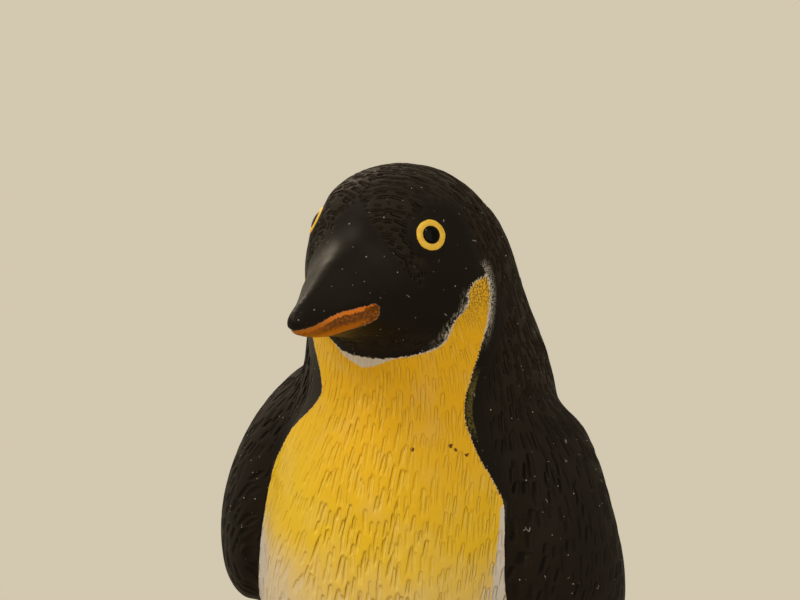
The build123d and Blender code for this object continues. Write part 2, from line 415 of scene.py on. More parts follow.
def set_values(mesh: Mesh, name: str, values: Array) -> None:
    """Stores one number or vector for each point under a name.

    Args:
        mesh: the mesh.
        name: the name.
        values: one number or row for each point.
    """
    vectors = values.ndim == 2
    kind = "FLOAT_VECTOR" if vectors else "FLOAT"
    attribute = mesh.attributes.new(name, kind, "POINT")
    attribute.data.foreach_set("vector" if vectors else "value", values.astype(np.float32).ravel())


def join_data(parts: list[tuple[Array, list]]) -> tuple[Array, list]:
    """Several sets of points and faces as one set.

    Args:
        parts: the points and faces of each set.

    Returns:
        All points and all faces.
    """
    points = []
    faces = []
    count = 0
    for part_points, part_faces in parts:
        points.append(part_points)
        faces.extend(tuple(number + count for number in face) for face in part_faces)
        count += len(part_points)
    return np.concatenate(points), faces


def relaxed(mesh: Mesh, weight: Array, rounds: int) -> Array:
    """A mesh's points, moved towards the middle of their neighbours.

    Args:
        mesh: the mesh, which stays as it is.
        weight: how strongly each point moves, 0 to 1.
        rounds: how often.

    Returns:
        The moved points.
    """
    moved = mesh_points(mesh)
    count = len(moved)
    edges = rows_of(mesh.edges, "vertices", 2, np.int32)
    start, end = np.concatenate([edges, edges[:, ::-1]]).T
    neighbours = np.maximum(np.bincount(start, minlength=count), 1)
    for _ in range(rounds):
        for axis in range(3):
            middle = np.bincount(start, weights=moved[end, axis], minlength=count) / neighbours
            moved[:, axis] += 0.5 * weight * (middle - moved[:, axis])
    return moved


def plain_mesh(obj: Piece, name: str) -> Mesh:
    """The object's mesh with its modifiers worked in, and the modifiers removed.

    Args:
        obj: the object.
        name: the new mesh's name.

    Returns:
        The new mesh.
    """
    graph = bpy.context.evaluated_depsgraph_get()
    graph.update()
    mesh = bpy.data.meshes.new_from_object(obj.evaluated_get(graph), depsgraph=graph)
    mesh.name = name
    obj.modifiers.clear()
    return mesh


def scratch_object(name: str, data: bpy.types.ID) -> Piece:
    """A new object in the scene, for a mesh, a lamp or a camera.

    Args:
        name: its name.
        data: the mesh, lamp or camera.

    Returns:
        The object.
    """
    obj = bpy.data.objects.new(name, data)
    bpy.context.scene.collection.objects.link(obj)
    return obj


def drop(obj: Piece) -> None:
    """Removes a scratch object and its mesh.

    Args:
        obj: the object.
    """
    mesh = obj.data
    bpy.data.objects.remove(obj)
    if mesh.users == 0:
        bpy.data.meshes.remove(mesh)


def modified(mesh: Mesh, kind: str, **settings: object) -> Mesh:
    """The mesh after one modifier, in place of the given mesh.

    Args:
        mesh: the given mesh.
        kind: the modifier's type.
        settings: its settings by name.

    Returns:
        The new mesh.
    """
    obj = scratch_object(mesh.name, mesh)
    modifier = obj.modifiers.new(kind.lower(), kind)
    for name, value in settings.items():
        setattr(modifier, name, value)
    made = plain_mesh(obj, mesh.name)
    drop(obj)
    return made


def melted(name: str, forms: list[LoftForm], voxel: float) -> Mesh:
    """One quad mesh round the outside of overlapping closed forms, with quads of the voxel's size."""
    mesh = build_mesh(name, *join_data([form.mesh_data() for form in forms]))
    return modified(mesh, "REMESH", mode="VOXEL", voxel_size=voxel)


def refined(mesh: Mesh, points: Array) -> Mesh:
    """The mesh with its points moved, after a round of Catmull-Clark subdivision.

    Args:
        mesh: the mesh.
        points: where its points move to.

    Returns:
        The finer mesh.
    """
    mesh.vertices.foreach_set("co", points.astype(np.float32).ravel())
    mesh.update()
    return modified(mesh, "SUBSURF", levels=1, render_levels=1)


# Node trees


class NodeWriter:
    """Adds nodes to one tree and links them, taking sockets or plain values as inputs."""

    def __init__(self, tree: bpy.types.NodeTree) -> None:
        """Begins to write in a tree."""
        self.tree = tree

    def add(self, kind: str, **settings: object) -> Node:
        """A new node with its settings.

        Args:
            kind: the node's type.
            settings: its settings by name.

        Returns:
            The node.
        """
        node = self.tree.nodes.new(kind)
        for name, value in settings.items():
            setattr(node, name, value)
        return node

    def feed(self, socket: Socket, value: object) -> None:
        """Links a socket to an input, or sets the input's own value.

        Args:
            socket: the input.
            value: a socket or a plain value.
        """
        if isinstance(value, Socket):
            self.tree.links.new(value, socket)
        else:
            socket.default_value = value

    def fed(self, kind: str, values: tuple | dict, **settings: object) -> Node:
        """A new node with its settings, and with its inputs given in order or by key.

        Args:
            kind: the node's type.
            values: what its inputs get.
            settings: its settings by name.

        Returns:
            The node.
        """
        node = self.add(kind, **settings)
        for key, value in values.items() if isinstance(values, dict) else enumerate(values):
            self.feed(node.inputs[key], value)
        return node

    def math(self, operation: str, *values: object, clamp: bool = False) -> Socket:
        """One sum on numbers."""
        return self.fed("ShaderNodeMath", values, operation=operation, use_clamp=clamp).outputs[0]

    def plus(self, first: object, second: object, clamp: bool = False) -> Socket:
        """Two numbers added."""
        return self.math("ADD", first, second, clamp=clamp)

    def less(self, first: object, second: object) -> Socket:
        """The second number taken from the first."""
        return self.math("SUBTRACT", first, second)

    def most(self, first: object, second: object) -> Socket:
        """The larger of two numbers."""
        return self.math("MAXIMUM", first, second)

    def times(self, first: object, *others: object, clamp: bool = False) -> Socket:
        """The product of numbers.

        Args:
            first: the first number.
            others: the other numbers.
            clamp: whether products are kept between 0 and 1.

        Returns:
            The product.
        """
        for other in others:
            first = self.math("MULTIPLY", first, other, clamp=clamp)
        return first

    def combined(self, value: object, factor: object, addend: object) -> Socket:
        """A number times a factor, plus an addend."""
        return self.math("MULTIPLY_ADD", value, factor, addend)

    def vector(self, operation: str, first: object, second: object = (0.0, 0.0, 0.0)) -> Socket:
        """One sum on vectors."""
        return self.fed("ShaderNodeVectorMath", (first, second), operation=operation).outputs[0]

    def scaled(self, vector: object, factor: object) -> Socket:
        """A vector times a number."""
        return self.fed("ShaderNodeVectorMath", {0: vector, "Scale": factor}, operation="SCALE").outputs[0]

    def length(self, vector: object, start: object = (0.0, 0.0, 0.0)) -> Socket:
        """A vector's distance from a place."""
        return self.vector("DISTANCE", vector, start).node.outputs["Value"]

    def split(self, vector: object) -> tuple[Socket, ...]:
        """The three numbers of a vector."""
        return tuple(self.fed("ShaderNodeSeparateXYZ", (vector,)).outputs)

    def joined(self, across: object, along: object) -> Socket:
        """A level vector from two numbers."""
        return self.fed("ShaderNodeCombineXYZ", (across, along)).outputs[0]

    def step(
        self, value: object, low: object, high: object, start: object = 0.0, end: object = 1.0
    ) -> Socket:
        """A soft step of a number, from start at low to end at high."""
        values = (value, low, high, start, end)
        return self.fed("ShaderNodeMapRange", values, interpolation_type="SMOOTHSTEP").outputs[0]

    def noise(self, vector: object, scale: float, detail: float = 2.0, roughness: float = 0.5) -> Socket:
        """Cloudy noise, about 0.5 on average."""
        values = {"Vector": vector, "Scale": scale, "Detail": detail, "Roughness": roughness}
        return self.fed("ShaderNodeTexNoise", values).outputs[0]

    def cells(
        self,
        vector: object,
        feature: str,
        dimensions: str = "3D",
        scale: float = 1.0,
        randomness: float = 1.0,
    ) -> Node:
        """Cells scattered over a vector."""
        values = {"Vector": vector, "Scale": scale, "Randomness": randomness}
        return self.fed("ShaderNodeTexVoronoi", values, feature=feature, voronoi_dimensions=dimensions)

    def blend(self, share: object, first: object, second: object) -> Socket:
        """A mix of two colours."""
        return self.fed("ShaderNodeMix", {0: share, 6: first, 7: second}, data_type="RGBA").outputs[2]

    def mixed(self, share: object, first: Node, second: Node) -> Socket:
        """A mix of two shaders."""
        return self.fed("ShaderNodeMixShader", (share, first.outputs[0], second.outputs[0])).outputs[0]


@dataclass(frozen=True)
class StrokeLayer:
    """One layer of engraved strokes: spacing and half width in millimetres, share of the depth, a shift."""

    across: float
    along: float
    half: float
    share: float
    shift: float


STROKE_LAYERS = (
    StrokeLayer(across=0.78, along=3.3, half=0.24, share=1.0, shift=0.0),
    StrokeLayer(across=1.02, along=4.6, half=0.28, share=0.9, shift=41.3),
)
STROKE_SLANT = 0.22
STROKE_RANDOMNESS = 0.85


def stroke_layer(write: NodeWriter, flow: Socket, layer: StrokeLayer, seed: object) -> tuple[Socket, ...]:
    """One layer of strokes that begin blunt at their upper end and run out along the flow.

    Args:
        write: writes the nodes.
        flow: place across and along the feathers, in millimetres.
        layer: sizes of the strokes.
        seed: shifts the pattern.

    Returns:
        The sockets with the depth, the dark edge (painted shadow with some dirt) and the lit side (a
        painted highlight), each 0 to 1.
    """
    across, along, _ = write.split(flow)
    shift = write.plus(seed, layer.shift)
    place = write.joined(
        write.plus(write.math("DIVIDE", across, layer.across), shift),
        write.plus(write.math("DIVIDE", along, layer.along), shift),
    )
    cell = write.cells(place, "F1", "2D", randomness=STROKE_RANDOMNESS)
    border = write.cells(place, "DISTANCE_TO_EDGE", "2D", randomness=STROKE_RANDOMNESS)
    first, second, third = write.split(cell.outputs["Color"])
    side, rise, _ = write.split(write.vector("SUBTRACT", place, cell.outputs["Position"]))
    lean = write.times(write.less(first, 0.5), STROKE_SLANT)
    climb = write.times(rise, layer.along)
    side = write.less(write.times(side, layer.across), write.times(lean, climb))
    half = write.combined(second, 0.4 * layer.half, 0.8 * layer.half)
    share = write.math("DIVIDE", side, half)
    bulge = write.times(share, share)
    bowl = write.step(write.less(1.0, bulge), 0.0, 0.7)
    reach = write.combined(third, 0.4, 0.56)
    down = write.less(0.5, write.math("DIVIDE", rise, reach))
    down = write.less(down, write.times(bulge, 0.12))
    start = write.step(down, 0.0, 0.16)
    end = write.step(down, 0.62, 1.0, 1.0, 0.0)
    inside = write.step(border.outputs["Distance"], 0.0, 0.1)
    strength = write.times(write.combined(first, 0.7, 0.3), layer.share)
    body = write.times(start, end, bowl, inside)
    # The left edge, turned away from the key lamp, is darkened in the finishes: painted shadow with some
    # dirt.
    left = write.times(write.step(share, -1.2, -0.85), write.step(share, -0.85, -0.3, 1.0, 0.0))
    fading = write.times(write.step(down, 0.1, 0.7, 1.0, 0.0), write.step(third, 0.45, 1.0, 0.2, 1.0))
    shade_and_grime = write.times(left, start, inside, fading)
    # The right half, turned to the key lamp, is lightened in the finishes: a painted highlight.
    painted_highlight = write.times(body, write.step(share, -0.3, 0.5))
    return tuple(write.times(value, strength) for value in (body, shade_and_grime, painted_highlight))


def feather_strokes(write: NodeWriter, flow: Socket, seed: object) -> tuple[Socket, ...]:
    """All layers of strokes together: their depth, their dark edge (painted shadow with some dirt) and
    their lit side (a painted highlight).
    """
    layers = [stroke_layer(write, flow, layer, seed) for layer in STROKE_LAYERS]
    return tuple(write.most(*pair) for pair in zip(*layers))


class FeatherRelief:
    """The engraved feathers, carved into the mesh."""

    def __init__(self) -> None:
        """Makes the tree and writes its nodes."""
        self.tree = bpy.data.node_groups.new("feather_relief", "GeometryNodeTree")
        self.write = NodeWriter(self.tree)
        self.sockets: dict[str, str] = {}
        self.build()

    def number(self, name: str, value: float) -> None:
        """Adds a named number to the tree's inputs.

        Args:
            name: its name.
            value: its usual value.
        """
        socket = self.tree.interface.new_socket(name=name, in_out="INPUT", socket_type="NodeSocketFloat")
        socket.default_value = value
        self.sockets[name] = socket.identifier

    def attribute(self, name: str, kind: str) -> Socket:
        """Reads a value stored on the points.

        Args:
            name: the value's name.
            kind: its type.

        Returns:
            The value.
        """
        node = self.write.add("GeometryNodeInputNamedAttribute", data_type=kind)
        node.inputs["Name"].default_value = name
        return node.outputs["Attribute"]

    def build(self) -> None:
        """Writes the whole tree."""
        write = self.write
        interface = self.tree.interface
        interface.new_socket(name="Skin", in_out="INPUT", socket_type="NodeSocketGeometry")
        self.number("Depth", 0.3)
        self.number("Unevenness", 0.12)
        self.number("Seed", SEED)
        finish = interface.new_socket(name="Finish", in_out="INPUT", socket_type="NodeSocketMaterial")
        self.sockets["Finish"] = finish.identifier
        interface.new_socket(name="Skin", in_out="OUTPUT", socket_type="NodeSocketGeometry")
        given = write.add("NodeGroupInput").outputs
        depths = []
        for flow_name, relief_name in (("body_flow", "body_relief"), ("head_flow", "head_relief")):
            depth, *_ = feather_strokes(write, self.attribute(flow_name, "FLOAT_VECTOR"), given["Seed"])
            depths.append(write.times(depth, self.attribute(relief_name, "FLOAT")))
        groove = write.most(*depths)
        place = write.add("GeometryNodeInputPosition").outputs[0]
        lumps = write.less(write.noise(place, 0.42, 1.0), 0.5)
        swell = write.times(lumps, given["Unevenness"], self.attribute("lumps", "FLOAT"))
        carved = write.plus(write.times(groove, given["Depth"]), self.attribute("carve", "FLOAT"))
        lift = write.less(swell, carved)
        offset = write.scaled(write.add("GeometryNodeInputNormal").outputs[0], lift)
        values = {"Geometry": given["Skin"], "Offset": offset}
        shift = write.fed("GeometryNodeSetPosition", values).outputs[0]
        whole = write.fed("GeometryNodeRealizeInstances", (shift,)).outputs[0]
        values = {"Geometry": whole, "Material": given["Finish"]}
        dressed = write.fed("GeometryNodeSetMaterial", values).outputs[0]
        write.fed("NodeGroupOutput", (dressed,))

    def applied(self, mesh: Mesh, finish: Material, **values: float) -> Mesh:
        """The mesh with the relief carved into it.

        Args:
            mesh: the smooth skin, with its flow and relief stored on the points.
            finish: the material.
            values: the tree's named numbers.

        Returns:
            The carved mesh.
        """
        obj = scratch_object(mesh.name, mesh)
        modifier = obj.modifiers.new("relief", "NODES")
        modifier.node_group = self.tree
        modifier[self.sockets["Finish"]] = finish
        for name, value in values.items():
            modifier[self.sockets[name]] = value
        carved = plain_mesh(obj, mesh.name)
        drop(obj)
        return carved


# Shader groups


class ShaderGroup:
    """A shader node group with named inputs and outputs."""

    def __init__(self, name: str, inputs: dict[str, object], outputs: dict[str, str]) -> None:
        """Makes a group with its sockets and no other nodes.

        Args:
            name: the group's name.
            inputs: the usual numbers by name, or None for a vector.
            outputs: the sockets' types by name.
        """
        self.tree = bpy.data.node_groups.new(name, "ShaderNodeTree")
        for label, value in inputs.items():
            kind = "NodeSocketVector" if value is None else "NodeSocketFloat"
            socket = self.tree.interface.new_socket(name=label, in_out="INPUT", socket_type=kind)
            if value is not None:
                socket.default_value = value
        for label, kind in outputs.items():
            self.tree.interface.new_socket(name=label, in_out="OUTPUT", socket_type=kind)
        self.write = NodeWriter(self.tree)
        self.given = self.write.add("NodeGroupInput").outputs
        self.result = self.write.add("NodeGroupOutput").inputs

    def placed(self, write: NodeWriter, **values: object) -> bpy.types.NodeOutputs:
        """The group as a node in a material, with inputs given by name.

        Args:
            write: the writer of the material's nodes.
            values: what its inputs get.

        Returns:
            The node's outputs.
        """
        node = write.add("ShaderNodeGroup", node_tree=self.tree)
        for label, value in values.items():
            write.feed(node.inputs[label], value)
        return node.outputs


def speckled_edge_group() -> ShaderGroup:
    """The edge of a sprayed area: wavy, with droplets on both sides.

    Returns:
        The shader group.
    """
    group = ShaderGroup(
        "speckled_edge",
        {"Place": None, "Distance": 0.0, "Wave": 0.3, "Droplets": 0.5, "Softness": 0.1},
        {"Mask": "NodeSocketFloat"},
    )
    write = group.write
    given = group.given
    wave = write.less(write.noise(given["Place"], 0.8, 3.0), 0.5)
    drops = write.less(write.noise(given["Place"], 4.2, 2.0, 0.6), 0.5)
    moved = write.plus(given["Distance"], write.times(wave, given["Wave"]))
    moved = write.plus(moved, write.times(drops, given["Droplets"]))
    low = write.times(given["Softness"], -1.0)
    write.feed(group.result["Mask"], write.step(moved, low, given["Softness"]))
    return group


def feather_group() -> ShaderGroup:
    """The engraved feathers again, finer than the mesh: their depth, their dark edge (painted shadow with
    some dirt) and their lit side (a painted highlight).

    Returns:
        The shader group.
    """
    names = ("Depth", "ShadeAndGrime", "Bright")
    outputs = {name: "NodeSocketFloat" for name in names}
    group = ShaderGroup("feather_strokes", {"Flow": None, "Relief": 0.0}, outputs)
    for name, value in zip(names, feather_strokes(group.write, group.given["Flow"], SEED)):
        group.write.feed(group.result[name], group.write.times(value, group.given["Relief"]))
    return group


def dust_group() -> ShaderGroup:
    """Specks of dust and short lint lying on a surface.

    Returns:
        The shader group.
    """
    group = ShaderGroup("dust", {"Place": None, "Amount": 0.5}, {"Mask": "NodeSocketFloat"})
    write = group.write
    given = group.given
    speck = write.cells(given["Place"], "F1", scale=1.2)
    chance, size, _ = write.split(speck.outputs["Color"])
    kept = write.step(chance, write.less(1.0, given["Amount"]), 1.0)
    reach = write.combined(size, 0.06, 0.05)
    dot = write.math("LESS_THAN", speck.outputs["Distance"], reach)
    lint = write.cells(given["Place"], "DISTANCE_TO_EDGE", scale=0.34)
    thread = write.math("LESS_THAN", lint.outputs["Distance"], 0.012)
    patch = write.step(write.noise(given["Place"], 0.55, 2.0), 0.68, 0.71)
    lint_mask = write.times(thread, patch, 0.5)
    write.feed(group.result["Mask"], write.most(write.times(dot, kept), lint_mask))
    return group


def spray_grain_group() -> ShaderGroup:
    """Fine unevenness of a sprayed coat, as a height, and its broad clouds.

    Returns:
        The shader group.
    """
    group = ShaderGroup(
        "spray_grain", {"Place": None}, {"Height": "NodeSocketFloat", "Clouds": "NodeSocketFloat"}
    )
    write = group.write
    fine = write.noise(group.given["Place"], 7.0, 2.0)
    coarse = write.noise(group.given["Place"], 1.6, 3.0)
    write.feed(group.result["Height"], write.plus(fine, coarse))
    write.feed(group.result["Clouds"], write.noise(group.given["Place"], 0.22, 3.0))
    return group


# Finishes


@dataclass(frozen=True)
class Surface:
    """What the parts of a finish share: their writer, the shader groups and the place in millimetres."""

    write: NodeWriter
    groups: dict[str, ShaderGroup]
    place: Socket

    def stored(self, label: str, output: str = "Fac") -> Socket:
        """A value stored on the mesh."""
        return self.write.add("ShaderNodeAttribute", attribute_name=label).outputs[output]

    def group(self, label: str, **values: object) -> bpy.types.NodeOutputs:
        """The results of a shared group at this place."""
        return self.groups[label].placed(self.write, Place=self.place, **values)

    def edge(self, distance: Socket, wave: float, droplets: object, softness: float) -> Socket:
        """The mask of an area with a sprayed edge."""
        values = {"Distance": distance, "Wave": wave, "Droplets": droplets, "Softness": softness}
        return self.group("edge", **values)["Mask"]

    def blotches(self, scale: float, detail: float, low: float, high: float) -> Socket:
        """Patches of noise."""
        return self.write.step(self.write.noise(self.place, scale, detail), low, high)

    def feathers(self) -> list[Socket]:
        """Depth, dark edge (painted shadow with some dirt) and lit side (a painted highlight) of the
        strokes on body and head.

        Returns:
            These three values, each the greater one of body and head.
        """
        parts = [
            self.groups["feathers"].placed(
                self.write, Flow=self.stored(f"{part}_flow", "Vector"), Relief=self.stored(f"{part}_relief")
            )
            for part in ("body", "head")
        ]
        return [self.write.most(*[part[label] for part in parts]) for label in ("Depth", "ShadeAndGrime", "Bright")]


@dataclass(frozen=True)
class SprayedVinyl:
    """White soft vinyl, masked and sprayed in yellow, orange and black."""

    bare: tuple = colour(205, 198, 190)
    yellow: tuple = colour(228, 189, 38)
    # Deeper yellow, laid on as painted shade up the neck and away from the key lamp, and in random clouds.
    deep_yellow: tuple = colour(228, 174, 18)
    # A painted highlight on the strokes' lit sides.
    highlight_yellow: tuple = colour(240, 206, 92)
    # Painted shadow, with some dirt, on the strokes' dark edges.
    shaded_yellow: tuple = colour(146, 98, 8)
    smear: tuple = colour(192, 186, 175)
    scuff: tuple = colour(78, 26, 4)
    # A painted highlight along the raised hinder lip.
    lip: tuple = colour(218, 118, 26)
    orange: tuple = colour(176, 98, 9)
    burnt: tuple = colour(64, 34, 6)
    olive: tuple = colour(86, 80, 40)
    black: tuple = colour(18, 15, 12)
    # Painted shade in the black's grooves.
    groove_shade_black: tuple = colour(6, 5, 5)
    # A painted highlight on the lit sides of the black's grooves.
    highlight_black: tuple = colour(66, 56, 45)
    # Painted sheen on the black's feathered lands.
    plume_sheen_black: tuple = colour(40, 34, 27)
    dust: tuple = colour(206, 200, 190)
    warm_shine: tuple = (1.0, 0.87, 0.69, 1.0)
    specks: tuple = ((6.1, -9.7, 56.3), (10.0, -7.3, 56.8), (10.6, -7.0, 56.3), (11.8, -6.3, 55.7))

    def material(self, name: str, groups: dict[str, ShaderGroup], shine: float) -> Material:
        """The finish as a material.

        Args:
            name: the material's name.
            groups: the shared shader groups.
            shine: the specular level.

        Returns:
            The material.
        """
        material, write, shader, place = start_material(name)
        on = Surface(write, groups, place)
        grain = on.group("grain")
        groove, shade_and_grime, painted_highlight = on.feathers()
        plumes = write.times(write.most(on.stored("head_relief"), on.stored("body_relief")), 0.5)
        beak = on.edge(on.stored("jaw"), 0.35, 0.5, 0.06)
        skin = write.blend(beak, self.bib(on, grain["Clouds"], shade_and_grime, painted_highlight), self.beak(on))
        edge = on.edge(on.stored("black"), 0.4, write.combined(on.stored("halo"), 0.6, 0.8), 0.08)
        black = write.times(write.less(1.0, edge), write.less(1.0, beak))
        coat = self.coat(on, plumes, groove, painted_highlight)
        write.feed(shader.inputs["Base Color"], write.blend(black, skin, coat))
        rough = write.step(grain["Clouds"], 0.3, 0.7, 0.56, 0.64)
        rough = write.combined(on.stored("polish"), -0.14, rough)
        rough = write.combined(write.math("MINIMUM", plumes, 1.0), 0.1, rough)
        write.feed(shader.inputs["Roughness"], write.combined(groove, 0.25, rough))
        shader.inputs["Specular IOR Level"].default_value = shine
        shader.inputs["Specular Tint"].default_value = self.warm_shine
        height = write.less(write.times(grain["Height"], 0.05), groove)
        add_bump(write, shader, height, 1.0, 0.17)
        return material

    def coat(self, on: Surface, plumes: Socket, groove: Socket, painted_highlight: Socket) -> Socket:
        """The black of hood, back and flippers: painted sheen and painted highlights on its feathers,
        painted shade in their grooves, smeared at the cheek, and dusty.

        Args:
            on: what the finish's parts share.
            plumes: where feathers are engraved.
            groove: how deep the strokes are.
            painted_highlight: the strokes' lit sides, where a highlight is painted.

        Returns:
            The colour.
        """
        write = on.write
        side = on.stored("bib")
        strip = write.times(write.step(side, -1.0, -0.85), write.step(side, -0.22, -0.12, 1.0, 0.0))
        streaks = write.noise(write.vector("MULTIPLY", on.place, (4.5, 4.5, 1.1)), 1.0, 3.0, 0.7)
        layers = (
            # Painted sheen on the feathered lands.
            (write.times(plumes, 0.9, clamp=True), self.plume_sheen_black),
            # Painted shade in the grooves.
            (write.times(groove, 1.6, clamp=True), self.groove_shade_black),
            # A painted highlight on the grooves' lit sides.
            (write.times(painted_highlight, 0.5, clamp=True), self.highlight_black),
            (write.times(strip, on.stored("olive"), on.blotches(3.4, 2.0, 0.3, 0.62)), self.olive),
            (write.times(write.step(streaks, 0.47, 0.62), on.stored("smear")), self.smear),
            (write.times(on.blotches(6.0, 1.0, 0.47, 0.57), on.stored("spatter")), self.smear),
            (write.times(on.group("dust", Amount=0.6)["Mask"], 0.7), self.dust),
        )
        coat = self.black
        for share, tint in layers:
            coat = write.blend(share, coat, tint)
        return coat

    def bib(self, on: Surface, clouds: Socket, shade_and_grime: Socket, painted_highlight: Socket) -> Socket:
        """The yellow of bib and belly, thin at its edges and scuffed at a few specks, with painted shade
        and painted highlights on its strokes.

        Args:
            on: what the finish's parts share.
            clouds: the coat's broad unevenness.
            shade_and_grime: the strokes' dark edges, painted shadow with some dirt.
            painted_highlight: the strokes' lit sides, where a highlight is painted.

        Returns:
            The colour.
        """
        write = on.write
        fade = on.stored("fade")
        # The yellow thins towards bare vinyl on the strokes' lit sides: part of the painted highlight.
        thin = write.times(painted_highlight, write.less(1.0, fade))
        gold = on.edge(write.less(on.stored("gold"), write.times(thin, 2.4)), 0.3, 0.5, 0.14)
        cloud = write.times(write.less(clouds, 0.5), 0.3)
        cover = write.less(write.plus(fade, cloud, clamp=True), thin)
        # Deeper yellow up the neck and away from the key lamp is painted shade; the clouds are the spray's
        # random unevenness.
        tone = write.plus(on.stored("painted_shade_tone"), cloud, clamp=True)
        paint = write.blend(tone, self.yellow, self.deep_yellow)
        # A painted highlight on the strokes' lit sides.
        paint = write.blend(write.times(painted_highlight, 0.8, clamp=True), paint, self.highlight_yellow)
        skin = write.blend(write.times(gold, cover, clamp=True), self.bare, paint)
        # Painted shadow, with some dirt, on the strokes' dark edges.
        skin = write.blend(write.times(shade_and_grime, 0.9, clamp=True), skin, self.shaded_yellow)
        freckles = write.times(on.blotches(5.0, 1.0, 0.48, 0.56), on.stored("freckle"))
        skin = write.blend(freckles, skin, self.black)
        nearest, *others = [write.length(on.place, speck) for speck in self.specks]
        for other in others:
            nearest = write.math("MINIMUM", nearest, other)
        nearest = write.combined(write.noise(on.place, 5.0, 2.0), 0.7, nearest)
        return write.blend(write.step(nearest, 0.5, 0.64, 0.96, 0.0), skin, self.scuff)

    def beak(self, on: Surface) -> Socket:
        """The orange under the bill: a painted highlight along the hinder lip, brown dabs below it, and
        plain orange underneath.

        Args:
            on: the surface that is painted.

        Returns:
            The colour.
        """
        write = on.write
        ragged = write.times(write.less(write.noise(on.place, 2.6, 3.0), 0.5), 0.9)
        below = write.plus(on.stored("lip"), ragged)
        hinder = on.stored("hinder")
        dabs = write.times(write.step(below, 0.36, 0.52), write.step(below, 1.35, 2.1, 1.0, 0.0))
        dabs = write.times(dabs, write.step(write.noise(on.place, 3.4, 3.0), 0.3, 0.55, 0.45, 1.0))
        # The brighter orange just under the mouth line, on the hinder half only, is a painted highlight on
        # the raised lip.
        under = write.blend(write.step(below, 0.35, 0.6), self.lip, self.orange)
        under = write.blend(hinder, self.orange, under)
        share = write.times(dabs, write.combined(hinder, 0.4, 0.5))
        shade_and_grime = write.step(write.noise(on.place, 2.2, 3.0, 0.7), 0.36, 0.6)
        share = write.most(share, write.times(shade_and_grime, on.stored("corner")))
        return write.blend(write.times(share, 0.9), under, self.burnt)


@dataclass(frozen=True)
class PlainPaint:
    """One brushed or moulded colour with clouds of a second one."""

    main: tuple
    second: tuple
    roughness: float
    bump: float = 0.2
    dusty: float = 0.0
    shine: float = 0.4

    def material(self, name: str, groups: dict[str, ShaderGroup]) -> Material:
        """The finish as a material.

        Args:
            name: the material's name.
            groups: the shared shader groups.

        Returns:
            The material.
        """
        material, write, shader, place = start_material(name)
        grain = groups["grain"].placed(write, Place=place)
        mottle = write.step(write.noise(place, 1.3, 3.0), 0.38, 0.72)
        tone = write.blend(mottle, self.main, self.second)
        dust = groups["dust"].placed(write, Place=place, Amount=self.dusty)["Mask"]
        tone = write.blend(write.times(dust, self.dusty), tone, SprayedVinyl.dust)
        write.feed(shader.inputs["Base Color"], tone)
        rough = write.step(grain["Clouds"], 0.3, 0.7, self.roughness * 0.9, self.roughness * 1.1)
        write.feed(shader.inputs["Roughness"], rough)
        shader.inputs["Specular IOR Level"].default_value = self.shine
        add_bump(write, shader, grain["Height"], self.bump, 0.03)
        return material


def start_material(name: str) -> tuple[Material, NodeWriter, Node, Socket]:
    """A new material with its shader and its place in millimetres.

    Args:
        name: the material's name.

    Returns:
        The material, a writer for its tree, its shader, and the socket with the place.
    """
    material = bpy.data.materials.new(name)
    material.use_nodes = True
    write = NodeWriter(material.node_tree)
    shader = material.node_tree.nodes["Principled BSDF"]
    place = write.scaled(write.add("ShaderNodeTexCoord").outputs["Object"], 1.0 / MM)
    return material, write, shader, place


def add_bump(write: NodeWriter, shader: Node, height: object, strength: float, reach: float) -> None:
    """Bumps a shader's normal by a height.

    Args:
        write: the writer of the material's nodes.
        shader: the shader.
        height: a number or the socket that gives it.
        strength: how strong the bump is.
        reach: the height's unit, in millimetres.
    """
    bump = write.add("ShaderNodeBump")
    bump.inputs["Strength"].default_value = strength
    bump.inputs["Distance"].default_value = reach * MM
    write.feed(bump.inputs["Height"], height)
    write.feed(shader.inputs["Normal"], bump.outputs[0])


PAINTS = {
    "eye_yellow": ("eye_paint", PlainPaint(colour(232, 192, 62), colour(222, 172, 40), 0.45)),
    "pupil_black": ("pupil_gloss", PlainPaint(colour(7, 6, 6), colour(9, 8, 8), 0.1, bump=0.0, shine=0.06)),
    "dark_foot": (
        "foot_paint",
        PlainPaint(colour(34, 30, 27), colour(44, 39, 34), 0.5, bump=0.3, dusty=0.25),
    ),
    "plug_white": ("plug_vinyl", PlainPaint(colour(206, 200, 194), colour(190, 182, 172), 0.5)),
}


class Palette:
    """All the figure's materials, one for each slot of the record."""

    def __init__(self) -> None:
        """Makes the shader groups and then every finish."""
        groups = {
            "edge": speckled_edge_group(),
            "feathers": feather_group(),
            "dust": dust_group(),
            "grain": spray_grain_group(),
        }
        sprayed = SprayedVinyl()
        self.slots = {
            "black_vinyl": sprayed.material("sprayed_black", groups, 0.1),
            "yellow_vinyl": sprayed.material("sprayed_bib", groups, 0.3),
            "orange_vinyl": sprayed.material("sprayed_beak", groups, 0.26),
            **{slot: paint.material(name, groups) for slot, (name, paint) in PAINTS.items()},
        }


def finish_piece(obj: Piece, node: str, slot: str, palette: Palette) -> Piece:
    """Dresses a piece, and puts it in its CAD node's place.

    Args:
        obj: the piece.
        node: the CAD node that it stands for.
        slot: the record's material slot.
        palette: the materials.

    Returns:
        The piece.
    """
    obj.data.materials.clear()
    obj.data.materials.append(palette.slots[slot])
    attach(obj, BODY)
    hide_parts(node)
    corners = sum(len(face.vertices) - 2 for face in obj.data.polygons)
    LOG.info("%s stands for %s: %d triangles", obj.name, node, corners)
    return obj


# The skin


class Patch(Enum):
    """The pieces that the skin is parted into: name, CAD node and material slot."""

    HEAD = ("head", "head_shell", "black_vinyl")
    BEAK = ("beak_underside", "lower_bill", "orange_vinyl")
    BREAST = ("breast", "breast_shell", "yellow_vinyl")
    BACK = ("back", "back_shell", "black_vinyl")
    LEFT_FLIPPER = ("flipper_left", "left_flipper", "black_vinyl")
    RIGHT_FLIPPER = ("flipper_right", "right_flipper", "black_vinyl")


